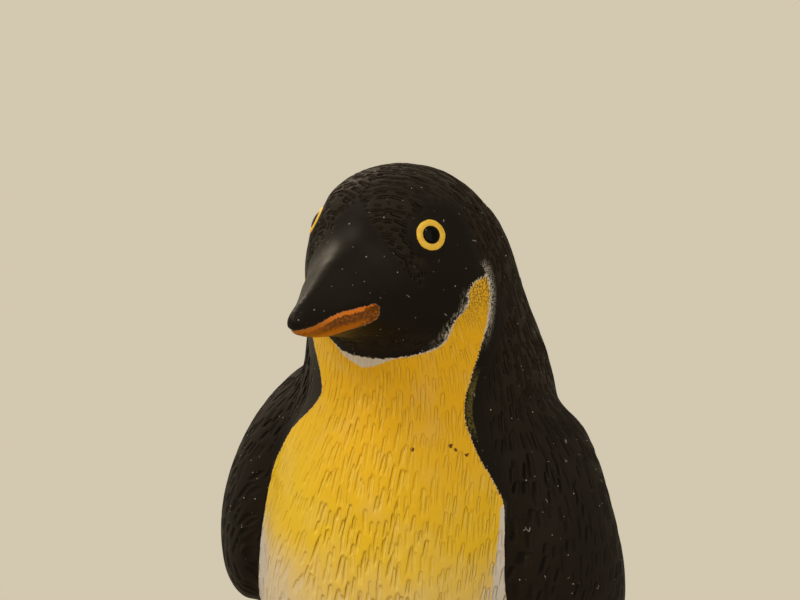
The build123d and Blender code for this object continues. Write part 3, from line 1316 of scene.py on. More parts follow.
@dataclass
class Skin:
    """The moulded outside of head, body, tail and flippers, in millimetres until its pieces are made.

    A band is a pair of heights: a paint begins at the first one and is full at the second one.
    """

    trunk: LoftForm = upright(
        (3, 6.0, 12.0, 10.0),
        (6, 5.5, 16.0, 14.5),
        (12, 4.8, 18.2, 17.4),
        (20, 4.4, 19.0, 19.0),
        (30, 4.3, 19.3, 19.7),
        (38, 4.7, 19.3, 19.9),
        (46, 5.8, 19.0, 19.8),
        (53, 7.0, 18.2, 19.2),
        (60, 8.0, 16.7, 17.7),
        (66, 6.8, 15.2, 16.8),
        (72, 3.6, 14.0, 15.3),
        (77, 1.3, 13.2, 14.3),
        (81, 0.3, 11.9, 13.5),
        (82.6, 0.0, 11.1, 12.8),
        (84.5, -0.9, 10.0, 11.6),
        (87.3, -1.8, 7.5, 8.8),
        (89.2, -2.0, 4.2, 4.9),
        (90, -2.1, 1.1, 1.3),
    )
    bill: LoftForm = forward(
        (-2, 76.2, 10.4, 11.2, 0),
        (-8, 76.2, 9.2, 9.6, 0.12),
        (-12, 76.15, 7.2, 7.15, 0.3),
        (-16, 75.6, 5.0, 5.1, 0.44),
        (-19.5, 74.55, 3.25, 3.55, 0.44),
        (-22.5, 73.8, 1.95, 2.3, 0.4),
        (-24.4, 73.55, 1.2, 1.4, 0.3),
        (-25.3, 73.5, 0.65, 0.75, 0.1),
        swing=-HEAD_TURN,
    )
    tail: LoftForm = forward(
        (15.5, 10.0, 7.5, 6.0, 0), (20, 7.2, 6.5, 4.2, 0), (24, 4.6, 4.2, 2.4, 0), (26.6, 3.0, 1.4, 0.9, 0)
    )
    flipper: LoftForm = LoftForm(
        Run.UPRIGHT,
        (
            (12.0, 7.6, 61.2, 5.0, 3.0, 70, 0),
            (16.4, 5.4, 55.9, 7.8, 4.6, 66, 0),
            (19.8, 3.6, 50.3, 7.7, 4.8, 64, 0),
            (21.7, 2.2, 44.6, 8.3, 4.7, 61, 0),
            (22.6, 1.8, 39.4, 8.7, 4.5, 58, 0),
            (23.0, 2.1, 34.8, 8.5, 4.2, 58, 0),
            (23.0, 2.5, 31.2, 7.5, 3.6, 58, 0),
            (22.8, 3.0, 28.9, 5.4, 2.6, 58, 0),
            (22.7, 3.4, 28.0, 2.8, 1.2, 58, 0),
        ),
    )
    hood_edge: SideLine = SideLine(((-10.5, 66.9), (-8.0, 69.2), (-6.9, 72.8), (-5.4, 76.6), (-3.6, 77.8)))
    bib_edge: SideLine = SideLine(
        ((-3.6, 77.8), (-3.4, 74), (-4.5, 66), (-5.6, 58), (-4.6, 52), (-2.6, 44), (1, 30), (4, 16), (6, 0))
    )
    mouth_line: SideLine = SideLine(((-27, 72.5), (-22.6, 73.1), (-20.6, 74.0), (-17.0, 74.7)))
    mouth_corner: tuple[float, float] = (-14.6, 73.5)
    jaw_root: tuple[float, float] = (-16.4, 71.1)
    orange_edge: tuple[tuple[float, float], ...] = (
        (-15.6, 75.0), (-14.8, 74.5), (-14.7, 73.2), (-15.3, 72.6), (-17.6, 71.9), (-19.4, 71.3)
    )
    ear_band: tuple[float, float] = (67.5, 73.5)
    cheek_band: tuple[float, float] = (68.4, 70.6)
    # Heights over which painted shade deepens the yellow.
    shade_tone_band: tuple[float, float] = (38.0, 64.0)
    fade_band: tuple[float, float] = (46.0, 33.0)
    strip_band: tuple[float, float] = (45.0, 36.0)
    bare_band: tuple[float, float] = (36.0, 22.0)
    jaw_bottom: float = 66.0
    seam_reach: float = 60.0
    head_centre: tuple[float, float, float] = (0.0, -1.0, 77.0)
    trunk_radius: float = 19.0
    head_radius: float = 15.0
    coat_scale: tuple[float, float, float] = (0.78, 1.2, 1.0)
    cheek_bearing: float = 21.0
    cheek_rise: float = -3.0
    shoulder_lift: float = 0.11
    shoulder_level: float = 45.0
    voxel: float = 0.4
    relax_rounds: int = 90
    crease_reach: tuple[float, ...] = (5.0, 3.0, 3.4, 3.4)
    wall: float = 1.6
    depth: float = 0.16
    inner_share: float = 0.08
    most_triangles: float = 180000.0
    front: tuple[float, float, float] = (0.4, -0.9, 0.2)
    shown_height: float = 31.0
    fields: dict[str, Array] = field(default_factory=dict)
    unseen: Array = field(default_factory=lambda: np.zeros(0, bool))

    def flippers(self) -> tuple[LoftForm, LoftForm]:
        """The left and the right flipper; the right shoulder stands a little higher."""
        return self.flipper, self.flipper.mirrored(self.shoulder_lift, self.shoulder_level)

    def smooth_mesh(self) -> Mesh:
        """The skin without its feathers: the forms melted together, with soft creases.

        Returns:
            An all-quad mesh.
        """
        forms = (self.bill, self.tail, *self.flippers())
        mesh = melted("skin", [self.trunk, *forms], self.voxel)
        points = mesh_points(mesh)
        trunk = np.abs(self.trunk.depth(points))
        weight = np.full(len(points), 0.1)
        for form, reach in zip(forms, self.crease_reach):
            near = np.maximum(trunk, np.abs(form.depth(points)))
            weight = np.maximum(weight, 1.0 - smoothstep(0.3 * reach, reach, near))
        points = relaxed(mesh, weight, self.relax_rounds)
        for side in (1, -1):
            points = Eyes.seated(points, side)
        return refined(mesh, points)

    def bib_outline(self) -> Array:
        """The closed outline of the bib seen from the side."""
        corners = np.array([(-self.seam_reach, 0.0), (-self.seam_reach, self.hood_edge.points[0][1])])
        return np.concatenate([self.hood_edge.line(), self.bib_edge.line()[1:], corners])

    def head_outline(self) -> Array:
        """The closed outline of the head seen from the side.

        Returns:
            The outline's corners, as pairs of Y and Z.
        """
        ear = self.hood_edge.points[-1][1]
        chin = self.hood_edge.points[0][1]
        reach = self.seam_reach
        corners = np.array([(reach, ear), (reach, 2 * reach), (-reach, 2 * reach), (-reach, chin)])
        return np.concatenate([self.hood_edge.line(), corners])

    def jaw_outline(self) -> Array:
        """The closed outline of the lower bill seen from the side.

        Returns:
            The outline's corners, as pairs of Y and Z.
        """
        front = self.mouth_line.points[0][0]
        root = self.jaw_root
        corners = np.array([self.mouth_corner, root, (root[0], self.jaw_bottom), (front, self.jaw_bottom)])
        return np.concatenate([self.mouth_line.line(), corners])

    def flipper_depth(self, points: Array) -> Array:
        """How far points stand out from the nearer flipper, negative inside it."""
        return np.minimum(*[flipper.depth(points) for flipper in self.flippers()])

    def on_flipper(self, points: Array) -> Array:
        """How far points belong to a flipper, 0 on the trunk and 1 on the blade."""
        out = smoothstep(0.1, 1.0, self.trunk.depth(points))
        return out * (1.0 - smoothstep(0.6, 1.6, self.flipper_depth(points)))

    def bib_distance(self, points: Array, normals: Array) -> tuple[Array, Array]:
        """How far points lie inside the bib's edge, in millimetres along the skin.

        Args:
            points: the skin's points.
            normals: their normals.

        Returns:
            The distances, negative outside the bib, and where the hood's edge is the nearer one.
        """
        height = points[:, 2]
        ahead = 2.2 * smoothstep(-3.0, -7.0, points[:, 0]) * smoothstep(53.0, 62.0, height)
        side = np.stack([points[:, 1] + ahead * smoothstep(75.0, 70.0, height), height], axis=1)
        hood, hood_way = line_distance(side, self.hood_edge.line())
        edge, edge_way = line_distance(side, self.bib_edge.line())
        by_hood = hood < edge
        way = np.where(by_hood[:, None], hood_way, edge_way)
        slant = np.abs(np.sum(way * normals[:, 1:], axis=1))
        distance = np.minimum(hood, edge) / np.maximum(np.sqrt(np.maximum(1.0 - slant**2, 0.0)), 0.35)
        bib = np.where(inside_outline(side, self.bib_outline()), distance, -distance)
        blade = self.on_flipper(points)
        bib = bib * (1.0 - blade) - 4.0 * blade
        front = 0.75 * bump_at(74.0, 2.0, height) + 0.4 * bump_at(69.2, 2.6, height)
        apex = np.hypot(*(side - np.array(self.bib_edge.points[0])).T)
        drawn_in = by_hood * front - 0.3 * ~by_hood * smoothstep(54.0, 60.0, height)
        drawn_in = drawn_in + 0.6 * np.exp(-((apex / 1.1) ** 2))
        return bib - self.on_left(points) * drawn_in, by_hood

    def on_left(self, points: Array) -> Array:
        """A soft step from the figure's right side to its left side."""
        return smoothstep(-2.0, 2.0, points[:, 0])

    def edge_fields(self, points: Array, normals: Array) -> dict[str, Array]:
        """Where paint lies, as distances in millimetres and shares.

        Args:
            points: the skin's points.
            normals: their normals.

        Returns:
            Values by name, one for each point.
        """
        across, _, height = points.T
        bib, by_hood = self.bib_distance(points, normals)
        left = self.on_left(points)
        outer = ~by_hood * left
        by_flipper = self.flipper_depth(points)
        low = smoothstep(*self.strip_band, height)
        chin = 1.4 * by_hood * bump_at(-0.8, 5.0, across)
        white = 1.4 * left * smoothstep(50.4, 49.0, height) + (1.8 - 1.0 * left) * low
        bare = 0.32 + 0.68 * np.exp(-((np.maximum(by_flipper, 0.0) / 3.2) ** 2))
        bare = bare * smoothstep(*self.fade_band, height)
        bare = bare + 0.42 * smoothstep(-2.0, -13.0, across) * low
        bare = bare + 0.45 * smoothstep(*self.bare_band, height)
        ear = outer * smoothstep(*self.ear_band, height)
        cheek = by_hood * left * smoothstep(*self.cheek_band, height)
        smear = 0.85 * cheek * smoothstep(76.5, 74.0, height)
        face = swung(points, HEAD_TURN)
        return {
            "bib": bib,
            "black": bib + 0.35 * ear + 0.16 * by_hood * smoothstep(1.0, 5.0, across),
            "gold": np.minimum(bib - chin, by_flipper - white),
            "fade": np.clip(1.0 - bare, 0.0, 1.0),
            # Deeper yellow up the neck and less of it on the figure's right, towards the key lamp: painted
            # shade.
            "painted_shade_tone": smoothstep(*self.shade_tone_band, height) - 0.4 * smoothstep(0.0, -10.0, across),
            "halo": ear + 0.4 * cheek + 0.5 * by_hood * smoothstep(-2.0, 3.0, across),
            "smear": smear * smoothstep(-1.4, -0.2, bib) * (bib < 0.3),
            "spatter": 0.9 * ear * smoothstep(-1.5, -0.45, bib) * (bib < 0.3),
            "freckle": 0.75 * left * smoothstep(70.0, 77.0, height),
            "polish": smoothstep(-10.0, -15.0, face[:, 1]) * smoothstep(66.0, 70.0, height),
            "olive": outer * smoothstep(57.0, 59.0, height) * smoothstep(66.5, 63.5, height),
            **self.bill_fields(face),
        }

    def bill_fields(self, face: Array) -> dict[str, Array]:
        """Where the bill's paint and the groove of its mouth lie.

        Args:
            face: the skin's points, turned so that the face looks straight ahead.

        Returns:
            Values by name, one for each point.
        """
        ahead = face[:, 1]
        profile = face[:, 1:]
        orange = np.concatenate([self.mouth_line.line(), self.orange_edge])
        under = [(end[0], self.jaw_bottom) for end in (self.orange_edge[-1], self.mouth_line.points[0])]
        jaw, _ = line_distance(profile, orange)
        jaw = np.where(inside_outline(profile, np.concatenate([orange, under])), jaw, -jaw)
        jaw = jaw - 2.0 * smoothstep(-24.6, -25.2, ahead)
        mouth, mouth_way = line_distance(profile, self.mouth_line.line())
        carve = 0.22 * smoothstep(-12.0, -14.0, ahead) * (1.0 - smoothstep(0.0, 0.45, mouth))
        return {
            "jaw": np.where(ahead < -12.0, jaw, -5.0),
            "lip": mouth * np.where(mouth_way[:, 1] < 0.0, 1.0, -1.0),
            "hinder": smoothstep(-22.5, -20.0, ahead),
            "corner": smoothstep(-17.4, -15.4, ahead),
            "carve": carve * smoothstep(-25.4, -24.0, ahead),
        }

    def body_flow(self, points: Array) -> Array:
        """Places across and along the feathers of the body, which run down and splay to its right.

        Args:
            points: the skin's points.

        Returns:
            One place for each point.
        """
        height = points[:, 2]
        rows = self.trunk.sampled()
        middle = np.interp(height, rows[:, 2], rows[:, 1])
        turn = np.arctan2(points[:, 0], middle - points[:, 1])
        splay = 0.3 * (np.maximum(height, 37.0) - 50.0) * smoothstep(0.1, -0.7, turn)
        flow = np.stack([turn * self.trunk_radius - splay, height, np.zeros_like(height)], axis=1)
        return np.where((self.fields["bib"] < -0.8)[:, None], flow * np.array(self.coat_scale), flow)

    def head_flow(self, face: Array) -> Array:
        """Places across and along the feathers of the head, which run round both cheeks.

        Args:
            face: the skin's points, turned so that the face looks straight ahead.

        Returns:
            One place for each point.
        """
        side = np.where(face[:, 0] < 0.0, -1.0, 1.0)
        axis = np.array(way_out(self.cheek_bearing, self.cheek_rise))
        upward = np.array((0.0, 0.0, 1.0)) - axis * axis[2]
        upward = upward / np.linalg.norm(upward)
        offset = face - np.array(self.head_centre)
        offset[:, 0] *= side
        offset = offset / np.linalg.norm(offset, axis=1)[:, None]
        polar = np.arccos(np.clip(offset @ axis, -1.0, 1.0))
        round_cheek = np.abs(np.arctan2(offset @ np.cross(axis, upward), offset @ upward))
        across = polar * self.head_radius + 200.0 + 40.0 * side
        return np.stack([across, -round_cheek * self.head_radius, np.zeros_like(side)], axis=1)

    def body_depth(self, points: Array) -> Array:
        """How deep the strokes on bib, back and flippers are.

        Args:
            points: the skin's points.

        Returns:
            Parts of the usual depth.
        """
        height = points[:, 2]
        bib = self.fields["bib"]
        on_bib = smoothstep(-0.2, 0.4, bib)
        upper = smoothstep(66.0, 60.0, height)
        bib_depth = 0.68 + 0.32 * bump_at(1.0, 10.0, points[:, 0]) * upper
        bib_depth = bib_depth + 0.35 * smoothstep(56.0, 47.0, height)
        bib_depth = bib_depth * (1.0 - 0.45 * smoothstep(-3.0, -8.0, points[:, 0]))
        coat_depth = smoothstep(-1.2, -4.5, bib) * (1.0 + 0.5 * smoothstep(58.0, 66.0, height))
        coat_depth = coat_depth * smoothstep(-6.0, -3.5, points[:, 1] + 30.0 * upper)
        coat_depth = coat_depth * (1.0 - 0.35 * self.on_flipper(points) * smoothstep(56.0, 48.0, height))
        body = on_bib * bib_depth + (1.0 - on_bib) * coat_depth
        return body * (1.0 - smoothstep(73.0, 78.0, height)) * smoothstep(4.0, 8.0, height)

    def head_depth(self, points: Array, face: Array) -> Array:
        """How deep the strokes on nape, crown, brows, far cheek and throat are.

        Args:
            points: the skin's points.
            face: the skin's points, turned so that the face looks straight ahead.

        Returns:
            Parts of the usual depth.
        """
        height = points[:, 2]
        bib = self.fields["bib"]
        bearing = np.arctan2(face[:, 0], -face[:, 1])
        far_cheek = 0.9 * smoothstep(-0.85, -0.95, bearing) * smoothstep(84.0, 82.0, height)
        bearing = np.abs(bearing)
        low_side = 0.05 + 0.065 * (86.0 - height)
        brow = smoothstep(low_side - 0.05, low_side + 0.05, bearing) * smoothstep(0.74, 0.66, bearing)
        brow = 1.2 * brow * smoothstep(75.0, 77.5, height)
        nape = 1.7 * smoothstep(-5.5, -2.5, points[:, 1])
        crown = 1.2 * smoothstep(85.5, 87.0, height) * smoothstep(-9.5, -6.5, face[:, 1])
        eyes = [np.linalg.norm(points - np.array(Eyes.seat(side)[0]), axis=1) for side in (1, -1)]
        clear_eye = smoothstep(2.5, 3.4, np.minimum(*eyes))
        head = np.maximum.reduce([nape, far_cheek, crown, brow]) * clear_eye
        head = head * smoothstep(72.0, 78.0, height)
        throat = 0.7 * bump_at(69.4, 2.6, height) * smoothstep(-15.5, -13.5, face[:, 1])
        head = np.maximum(head, throat * (bearing < 1.1))
        return head * (1.0 - smoothstep(-0.2, 0.4, bib)) * smoothstep(-0.6, -1.8, bib)

    def flow_fields(self, points: Array) -> dict[str, Array]:
        """Which way the feathers run, how deep they are, and how lumpy the skin is.

        Args:
            points: the skin's points.

        Returns:
            Values by name, one for each point.
        """
        face = swung(points, HEAD_TURN)
        body = self.body_depth(points)
        head = self.head_depth(points, face)
        return {
            "body_flow": self.body_flow(points),
            "head_flow": self.head_flow(face),
            "body_relief": body,
            "head_relief": head,
            "lumps": 0.3 + 0.7 * np.maximum(body, head),
        }

    def parted(self, centres: Array) -> dict[Patch, Array]:
        """Which faces belong to which piece, from the faces' centres.

        Args:
            centres: the faces' centres.

        Returns:
            The faces of each piece.
        """
        side = centres[:, 1:]
        blade = self.on_flipper(centres) > 0.5
        profile = swung(centres, HEAD_TURN)[:, 1:]
        ahead = profile[:, 0] < self.mouth_corner[0] + 0.5
        jaw = inside_outline(profile, self.jaw_outline()) & ahead & ~blade
        head = inside_outline(side, self.head_outline()) & ~jaw & ~blade
        breast = inside_outline(side, self.bib_outline()) & ~(jaw | head | blade)
        left = centres[:, 0] > 0
        return {
            Patch.HEAD: head,
            Patch.BEAK: jaw,
            Patch.BREAST: breast,
            Patch.BACK: ~(head | jaw | breast | blade),
            Patch.LEFT_FLIPPER: blade & left,
            Patch.RIGHT_FLIPPER: blade & ~left,
        }

    def inner_points(self, points: Array, normals: Array) -> Array:
        """The inside of the wall, thinner where the form is slim.

        Args:
            points: the outside's points.
            normals: their normals.

        Returns:
            The inside's points, in the same order.
        """
        rows = self.bill.sampled()
        order = np.argsort(rows[:, 1])
        ahead = swung(points, HEAD_TURN)[:, 1]
        slim = 0.4 * np.interp(ahead, rows[order, 1], np.minimum(rows[order, 3], rows[order, 4]))
        thickness = np.where(ahead < -10.0, np.minimum(self.wall, slim), self.wall)
        blade = self.on_flipper(points)
        thickness = thickness * (1.0 - 0.75 * blade)
        tail = smoothstep(18.0, 23.0, points[:, 1]) * smoothstep(14.0, 10.0, points[:, 2])
        return points - normals * (thickness * (1.0 - 0.75 * tail))[:, None]

    def piece(
        self,
        patch: Patch,
        faces: Array,
        outer: Array,
        inner: Array,
        normals: Array,
        palette: Palette,
    ) -> Piece:
        """One closed piece of the skin, with its outside, a coarse inside and the rim between them.

        Args:
            patch: which piece.
            faces: its outer faces, numbered over the whole skin.
            outer: the whole skin's points.
            inner: the inside of the wall at the same points.
            normals: the whole skin's normals, so that no seam shows in the shading.
            palette: the materials.

        Returns:
            The finished piece.
        """
        name, node, slot = patch.value
        used, local = np.unique(faces, return_inverse=True)
        quads = local.reshape(-1, 4)
        count = len(used)
        sides = np.concatenate([quads[:, [corner, (corner + 1) % 4]] for corner in range(4)])
        forward_keys = sides[:, 0].astype(np.int64) * count + sides[:, 1]
        backward_keys = sides[:, 1].astype(np.int64) * count + sides[:, 0]
        open_sides = sides[~np.isin(forward_keys, backward_keys)]
        rim = np.stack(
            [open_sides[:, 1], open_sides[:, 0], open_sides[:, 0] + count, open_sides[:, 1] + count], axis=1
        )
        points = np.concatenate([outer[used], inner[used]]) * MM
        mesh = build_mesh(name, points, np.concatenate([quads, quads[:, ::-1] + count, rim]))
        for label, values in self.fields.items():
            set_values(mesh, label, np.concatenate([values[used], values[used]]))
        set_values(mesh, "shade", np.concatenate([normals[used], np.zeros((count, 3))]))
        obj = scratch_object(name, mesh)
        group = obj.vertex_groups.new(name="thinned")
        group.add(list(range(count, 2 * count)), 1.0, "REPLACE")
        thin = obj.modifiers.new("thin", "DECIMATE")
        thin.ratio = 0.5 + 0.5 * self.inner_share
        allowed = self.most_triangles / (2 * len(mesh.polygons))
        if allowed < thin.ratio:
            thin.ratio = allowed
            coarse = self.unseen[used]
            coarse[np.unique(open_sides)] = False
            group.add(np.flatnonzero(coarse).tolist(), 1.0, "REPLACE")
        thin.vertex_group = group.name
        thinned = plain_mesh(obj, name)
        drop(obj)
        shade = rows_of(thinned.attributes["shade"].data, "vector", 3)
        thinned.attributes.remove(thinned.attributes["shade"])
        thinned.normals_split_custom_set_from_vertices(shade.tolist())
        return finish_piece(scratch_object(name, thinned), node, slot, palette)

    def build(self, palette: Palette) -> list[Piece]:
        """Makes the skin and parts it into its pieces.

        Args:
            palette: the materials.

        Returns:
            The pieces.
        """
        smooth = self.smooth_mesh()
        points = mesh_points(smooth)
        normals = mesh_normals(smooth)
        LOG.info("the smooth skin has %d points", len(points))
        self.fields = self.edge_fields(points, normals)
        self.unseen = (normals @ np.array(self.front) < 0.0) | (points[:, 2] < self.shown_height)
        flows = self.flow_fields(points)
        carving = {"carve": self.fields.pop("carve"), "lumps": flows.pop("lumps")}
        self.fields.update(flows)
        for label, values in {**carving, **flows}.items():
            set_values(smooth, label, values)
        carved = FeatherRelief().applied(smooth, palette.slots["black_vinyl"], Depth=self.depth)
        outer = mesh_points(carved)
        shade = mesh_normals(carved)
        quads = mesh_quads(carved)
        inner = self.inner_points(points, normals)
        pieces = []
        for patch, held in self.parted(points[quads].mean(axis=1)).items():
            pieces.append(self.piece(patch, quads[held], outer, inner, shade, palette))
        bpy.data.meshes.remove(carved)
        return pieces


# Eyes


@dataclass
class Eyes:
    """Two painted rings, each with a glossy pupil: sizes in millimetres."""

    SECTION: ClassVar[tuple[float, float, float, float]] = (82.6, 0.0, 11.1, 12.8)
    ANGLES: ClassVar[dict[int, tuple[float, ...]]] = {1: (42.3, 50.0, 21.0), -1: (-57.0, -62.0, 25.0)}
    CURVE: ClassVar[float] = 11.5
    ring_radius: float = 1.84
    pupil_radius: float = 1.08
    root: float = 0.6
    ring_proud: float = 0.14
    pupil_dome: float = 0.28
    around: int = 96

    @classmethod
    def seat(cls, side: int) -> tuple[Vector, Vector]:
        """An eye's centre on the head and the way that it faces, for side 1 (left) or -1 (right).

        Args:
            side: the eye's side.

        Returns:
            The centre and the way.
        """
        height, centre, half_width, half_depth = cls.SECTION
        bearing, facing, tilt = cls.ANGLES[side]
        out = way_out(bearing, 0.0)
        return Vector((half_width * out.x, centre + half_depth * out.y, height)), way_out(facing, tilt)

    @classmethod
    def seated(cls, points: Array, side: int) -> Array:
        """The skin's points, drawn to the gently curved seat of an eye.

        Args:
            points: the skin's points.
            side: the eye's side, 1 or -1.

        Returns:
            The moved points.
        """
        place, out = (np.array(vector) for vector in cls.seat(side))
        offset = points - place
        height = offset @ out
        reach = np.linalg.norm(offset - height[:, None] * out, axis=1)
        share = (1.0 - smoothstep(1.7, 3.6, reach)) * (np.abs(height) < 2.0)
        return points + ((-(reach**2) / (2.0 * cls.CURVE) - height) * share)[:, None] * out

    def turned(self, profile: list[tuple[float, float]], side: int, ragged: float) -> Mesh:
        """A closed mesh turned about an eye's axis from a profile of (radius, height) points.

        Args:
            profile: the profile, whose first and last points lie on the axis or meet.
            side: 1 for the left eye and -1 for the right one.
            ragged: how far the outer edge wanders.

        Returns:
            The mesh, in place.
        """
        centre, out = (np.array(vector) for vector in self.seat(side))
        turn = np.array(Vector(out).to_track_quat("Z", "Y").to_matrix())
        angle = np.linspace(0, 2 * math.pi, self.around, endpoint=False)
        wander = 0.6 * np.sin(5 * angle + side) + 0.4 * np.sin(11 * angle + 2.1) + 0.3 * np.sin(23 * angle)
        rings = []
        for radius, height in profile:
            stretch = radius + ragged * wander * (radius / self.ring_radius) ** 3
            rise = height - stretch**2 / (2.0 * self.CURVE)
            rings.append(np.stack([stretch * np.cos(angle), stretch * np.sin(angle), rise], axis=1))
        points = np.concatenate(rings) @ turn.T + centre
        mesh = build_mesh("eye", points * MM, ring_faces(len(profile), self.around, wraps=True))
        return tidy_closed(mesh)

    def build(self, palette: Palette) -> list[Piece]:
        """Makes both rings and both pupils.

        Args:
            palette: the finishes.

        Returns:
            The four pieces.
        """
        width = self.ring_radius - self.pupil_radius
        crown = [
            (self.ring_radius - share * width, self.ring_proud * math.sin(math.pi * (0.15 + 0.7 * share)))
            for share in np.linspace(0.0, 1.0, 12)
        ]
        ring = [(self.ring_radius, -self.root), *crown, (self.pupil_radius, -self.root)]
        foot = 0.5 * self.ring_proud
        dome = [
            (self.pupil_radius * math.cos(angle), foot + (self.pupil_dome - foot) * math.sin(angle))
            for angle in np.linspace(0.0, math.pi / 2, 12)
        ]
        pupil = [(0.0, -self.root), (self.pupil_radius, -self.root), *dome]
        pieces = []
        for word, side in (("left", 1), ("right", -1)):
            ring_obj = scratch_object(f"eye_ring_{word}", self.turned(ring, side, 0.025))
            pieces.append(finish_piece(ring_obj, f"{word}_eye_ring", "eye_yellow", palette))
            pupil_obj = scratch_object(f"pupil_{word}", self.turned(pupil, side, 0.0))
            pieces.append(finish_piece(pupil_obj, f"{word}_pupil", "pupil_black", palette))
        return pieces


def tidy_closed(mesh: Mesh) -> Mesh:
    """Merges doubled points, drops empty faces and turns all faces outwards.

    Args:
        mesh: the mesh, which is changed.

    Returns:
        The same mesh.
    """
    work = bmesh.new()
    work.from_mesh(mesh)
    bmesh.ops.remove_doubles(work, verts=work.verts, dist=1e-6)
    bmesh.ops.dissolve_degenerate(work, edges=work.edges, dist=1e-7)
    bmesh.ops.recalc_face_normals(work, faces=work.faces)
    work.to_mesh(mesh)
    work.free()
    mesh.shade_smooth()
    return mesh


# Feet


@dataclass
class Feet:
    """Two webbed feet with three clawed toes: sizes in millimetres, for the left foot."""

    heel: tuple[float, float] = (8.5, 9.0)
    heel_radius: float = 4.0
    ball: tuple[float, float] = (9.0, -9.0)
    ball_radius: float = 5.6
    toes: tuple[tuple[float, float], ...] = ((3.2, -21.4), (9.4, -24.4), (15.4, -20.4))
    toe_radius: float = 2.1
    sole_height: float = 2.7
    ankle: tuple[float, float] = (8.5, 1.5)
    ankle_radius: float = 4.3
    ankle_height: float = 6.4
    voxel: float = 0.4
    relax_rounds: int = 6

    def tube(self, stations: list[tuple[float, float, float, float, float]]) -> LoftForm:
        """A form along Y through stations of X, Y, height, half width and half height."""
        sections = tuple((*station, 0.0, 0.0) for station in stations)
        return LoftForm(Run.FORWARD, sections, rings=60, around=48)

    def forms(self) -> list[LoftForm]:
        """The left foot's forms: heel, web, three toes with claws, and ankle.

        Returns:
            The forms, which are melted into one afterwards.
        """
        half = self.sole_height / 2
        heel_x, heel_y = self.heel
        ball_x, ball_y = self.ball
        made = [
            self.tube(
                [
                    (heel_x, heel_y + self.heel_radius, half, 0.6, 0.5),
                    (heel_x, heel_y + 0.7 * self.heel_radius, half, 2.8, half),
                    (heel_x, heel_y, half, self.heel_radius, 1.3 * half),
                    (ball_x, 0.5 * (heel_y + ball_y), half, 4.6, 1.4 * half),
                    (ball_x, ball_y, half, self.ball_radius, 1.1 * half),
                    (ball_x, ball_y - 5.0, 0.9 * half, self.ball_radius + 0.6, 0.7 * half),
                    (ball_x, ball_y - 8.2, 0.7 * half, self.ball_radius - 0.4, 0.45 * half),
                    (ball_x, ball_y - 9.4, 0.6 * half, self.ball_radius - 2.6, 0.2 * half),
                ]
            )
        ]
        for tip_x, tip_y in self.toes:
            made.append(
                self.tube(
                    [
                        (ball_x + 0.1 * (tip_x - ball_x), ball_y + 2.0, half, 0.8, 0.8),
                        (ball_x + 0.25 * (tip_x - ball_x), ball_y, half, 1.5, 1.4 * half),
                        (0.5 * (ball_x + tip_x), 0.5 * (ball_y + tip_y), half, 1.9, 1.25 * half),
                        (tip_x - 0.1 * (tip_x - ball_x), tip_y + 2.2, half, self.toe_radius, 1.15 * half),
                        (tip_x, tip_y, 0.9 * half, self.toe_radius - 0.3, 0.95 * half),
                        (tip_x, tip_y - 1.2, 0.75 * half, 0.9, 0.6 * half),
                        (tip_x, tip_y - 2.1, 0.5 * half, 0.35, 0.25 * half),
                    ]
                )
            )
        ankle_x, ankle_y = self.ankle
        radius = self.ankle_radius
        made.append(
            LoftForm(
                Run.UPRIGHT,
                (
                    (ankle_x, ankle_y, 0.4, radius, radius, 0.0, 0.0),
                    (ankle_x, ankle_y, 0.4 * self.ankle_height, radius + 0.5, radius + 0.6, 0.0, 0.0),
                    (ankle_x, ankle_y, self.ankle_height, radius - 0.4, radius - 0.4, 0.0, 0.0),
                ),
                rings=24,
                around=64,
            )
        )
        return made

    def build(self, palette: Palette) -> list[Piece]:
        """Makes both feet, flat underneath.

        Args:
            palette: the finishes.

        Returns:
            Both pieces.
        """
        mesh = melted("foot", self.forms(), self.voxel)
        points = relaxed(mesh, np.ones(len(mesh.vertices)), self.relax_rounds)
        points[:, 2] = np.maximum(points[:, 2], 0.0)
        mesh = refined(mesh, points)
        points = mesh_points(mesh)
        quads = mesh_quads(mesh)
        pieces = []
        for word, side in (("left", 1), ("right", -1)):
            placed = points * np.array([side, 1.0, 1.0]) * MM
            turned = np.ascontiguousarray(quads[:, ::side])
            obj = scratch_object(f"foot_{word}", build_mesh(f"foot_{word}", placed, turned))
            pieces.append(finish_piece(obj, f"{word}_foot", "dark_foot", palette))
        return pieces


def dress_plug(palette: Palette) -> None:
    """Gives the vent plug its vinyl.

    Args:
        palette: the finishes.
    """
    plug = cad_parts["vent_plug"]
    plug.data.materials.clear()
    plug.data.materials.append(palette.slots["plug_white"])
    LOG.info("vent_plug keeps its shape and gets its vinyl")


# Studio


@dataclass(frozen=True)
class Lamp:
    """A soft square lamp: place, size and the power that it gives off, aimed at the figure."""

    name: str
    place: tuple[float, float, float]
    size: float
    power: float
    tint: tuple[float, float, float]


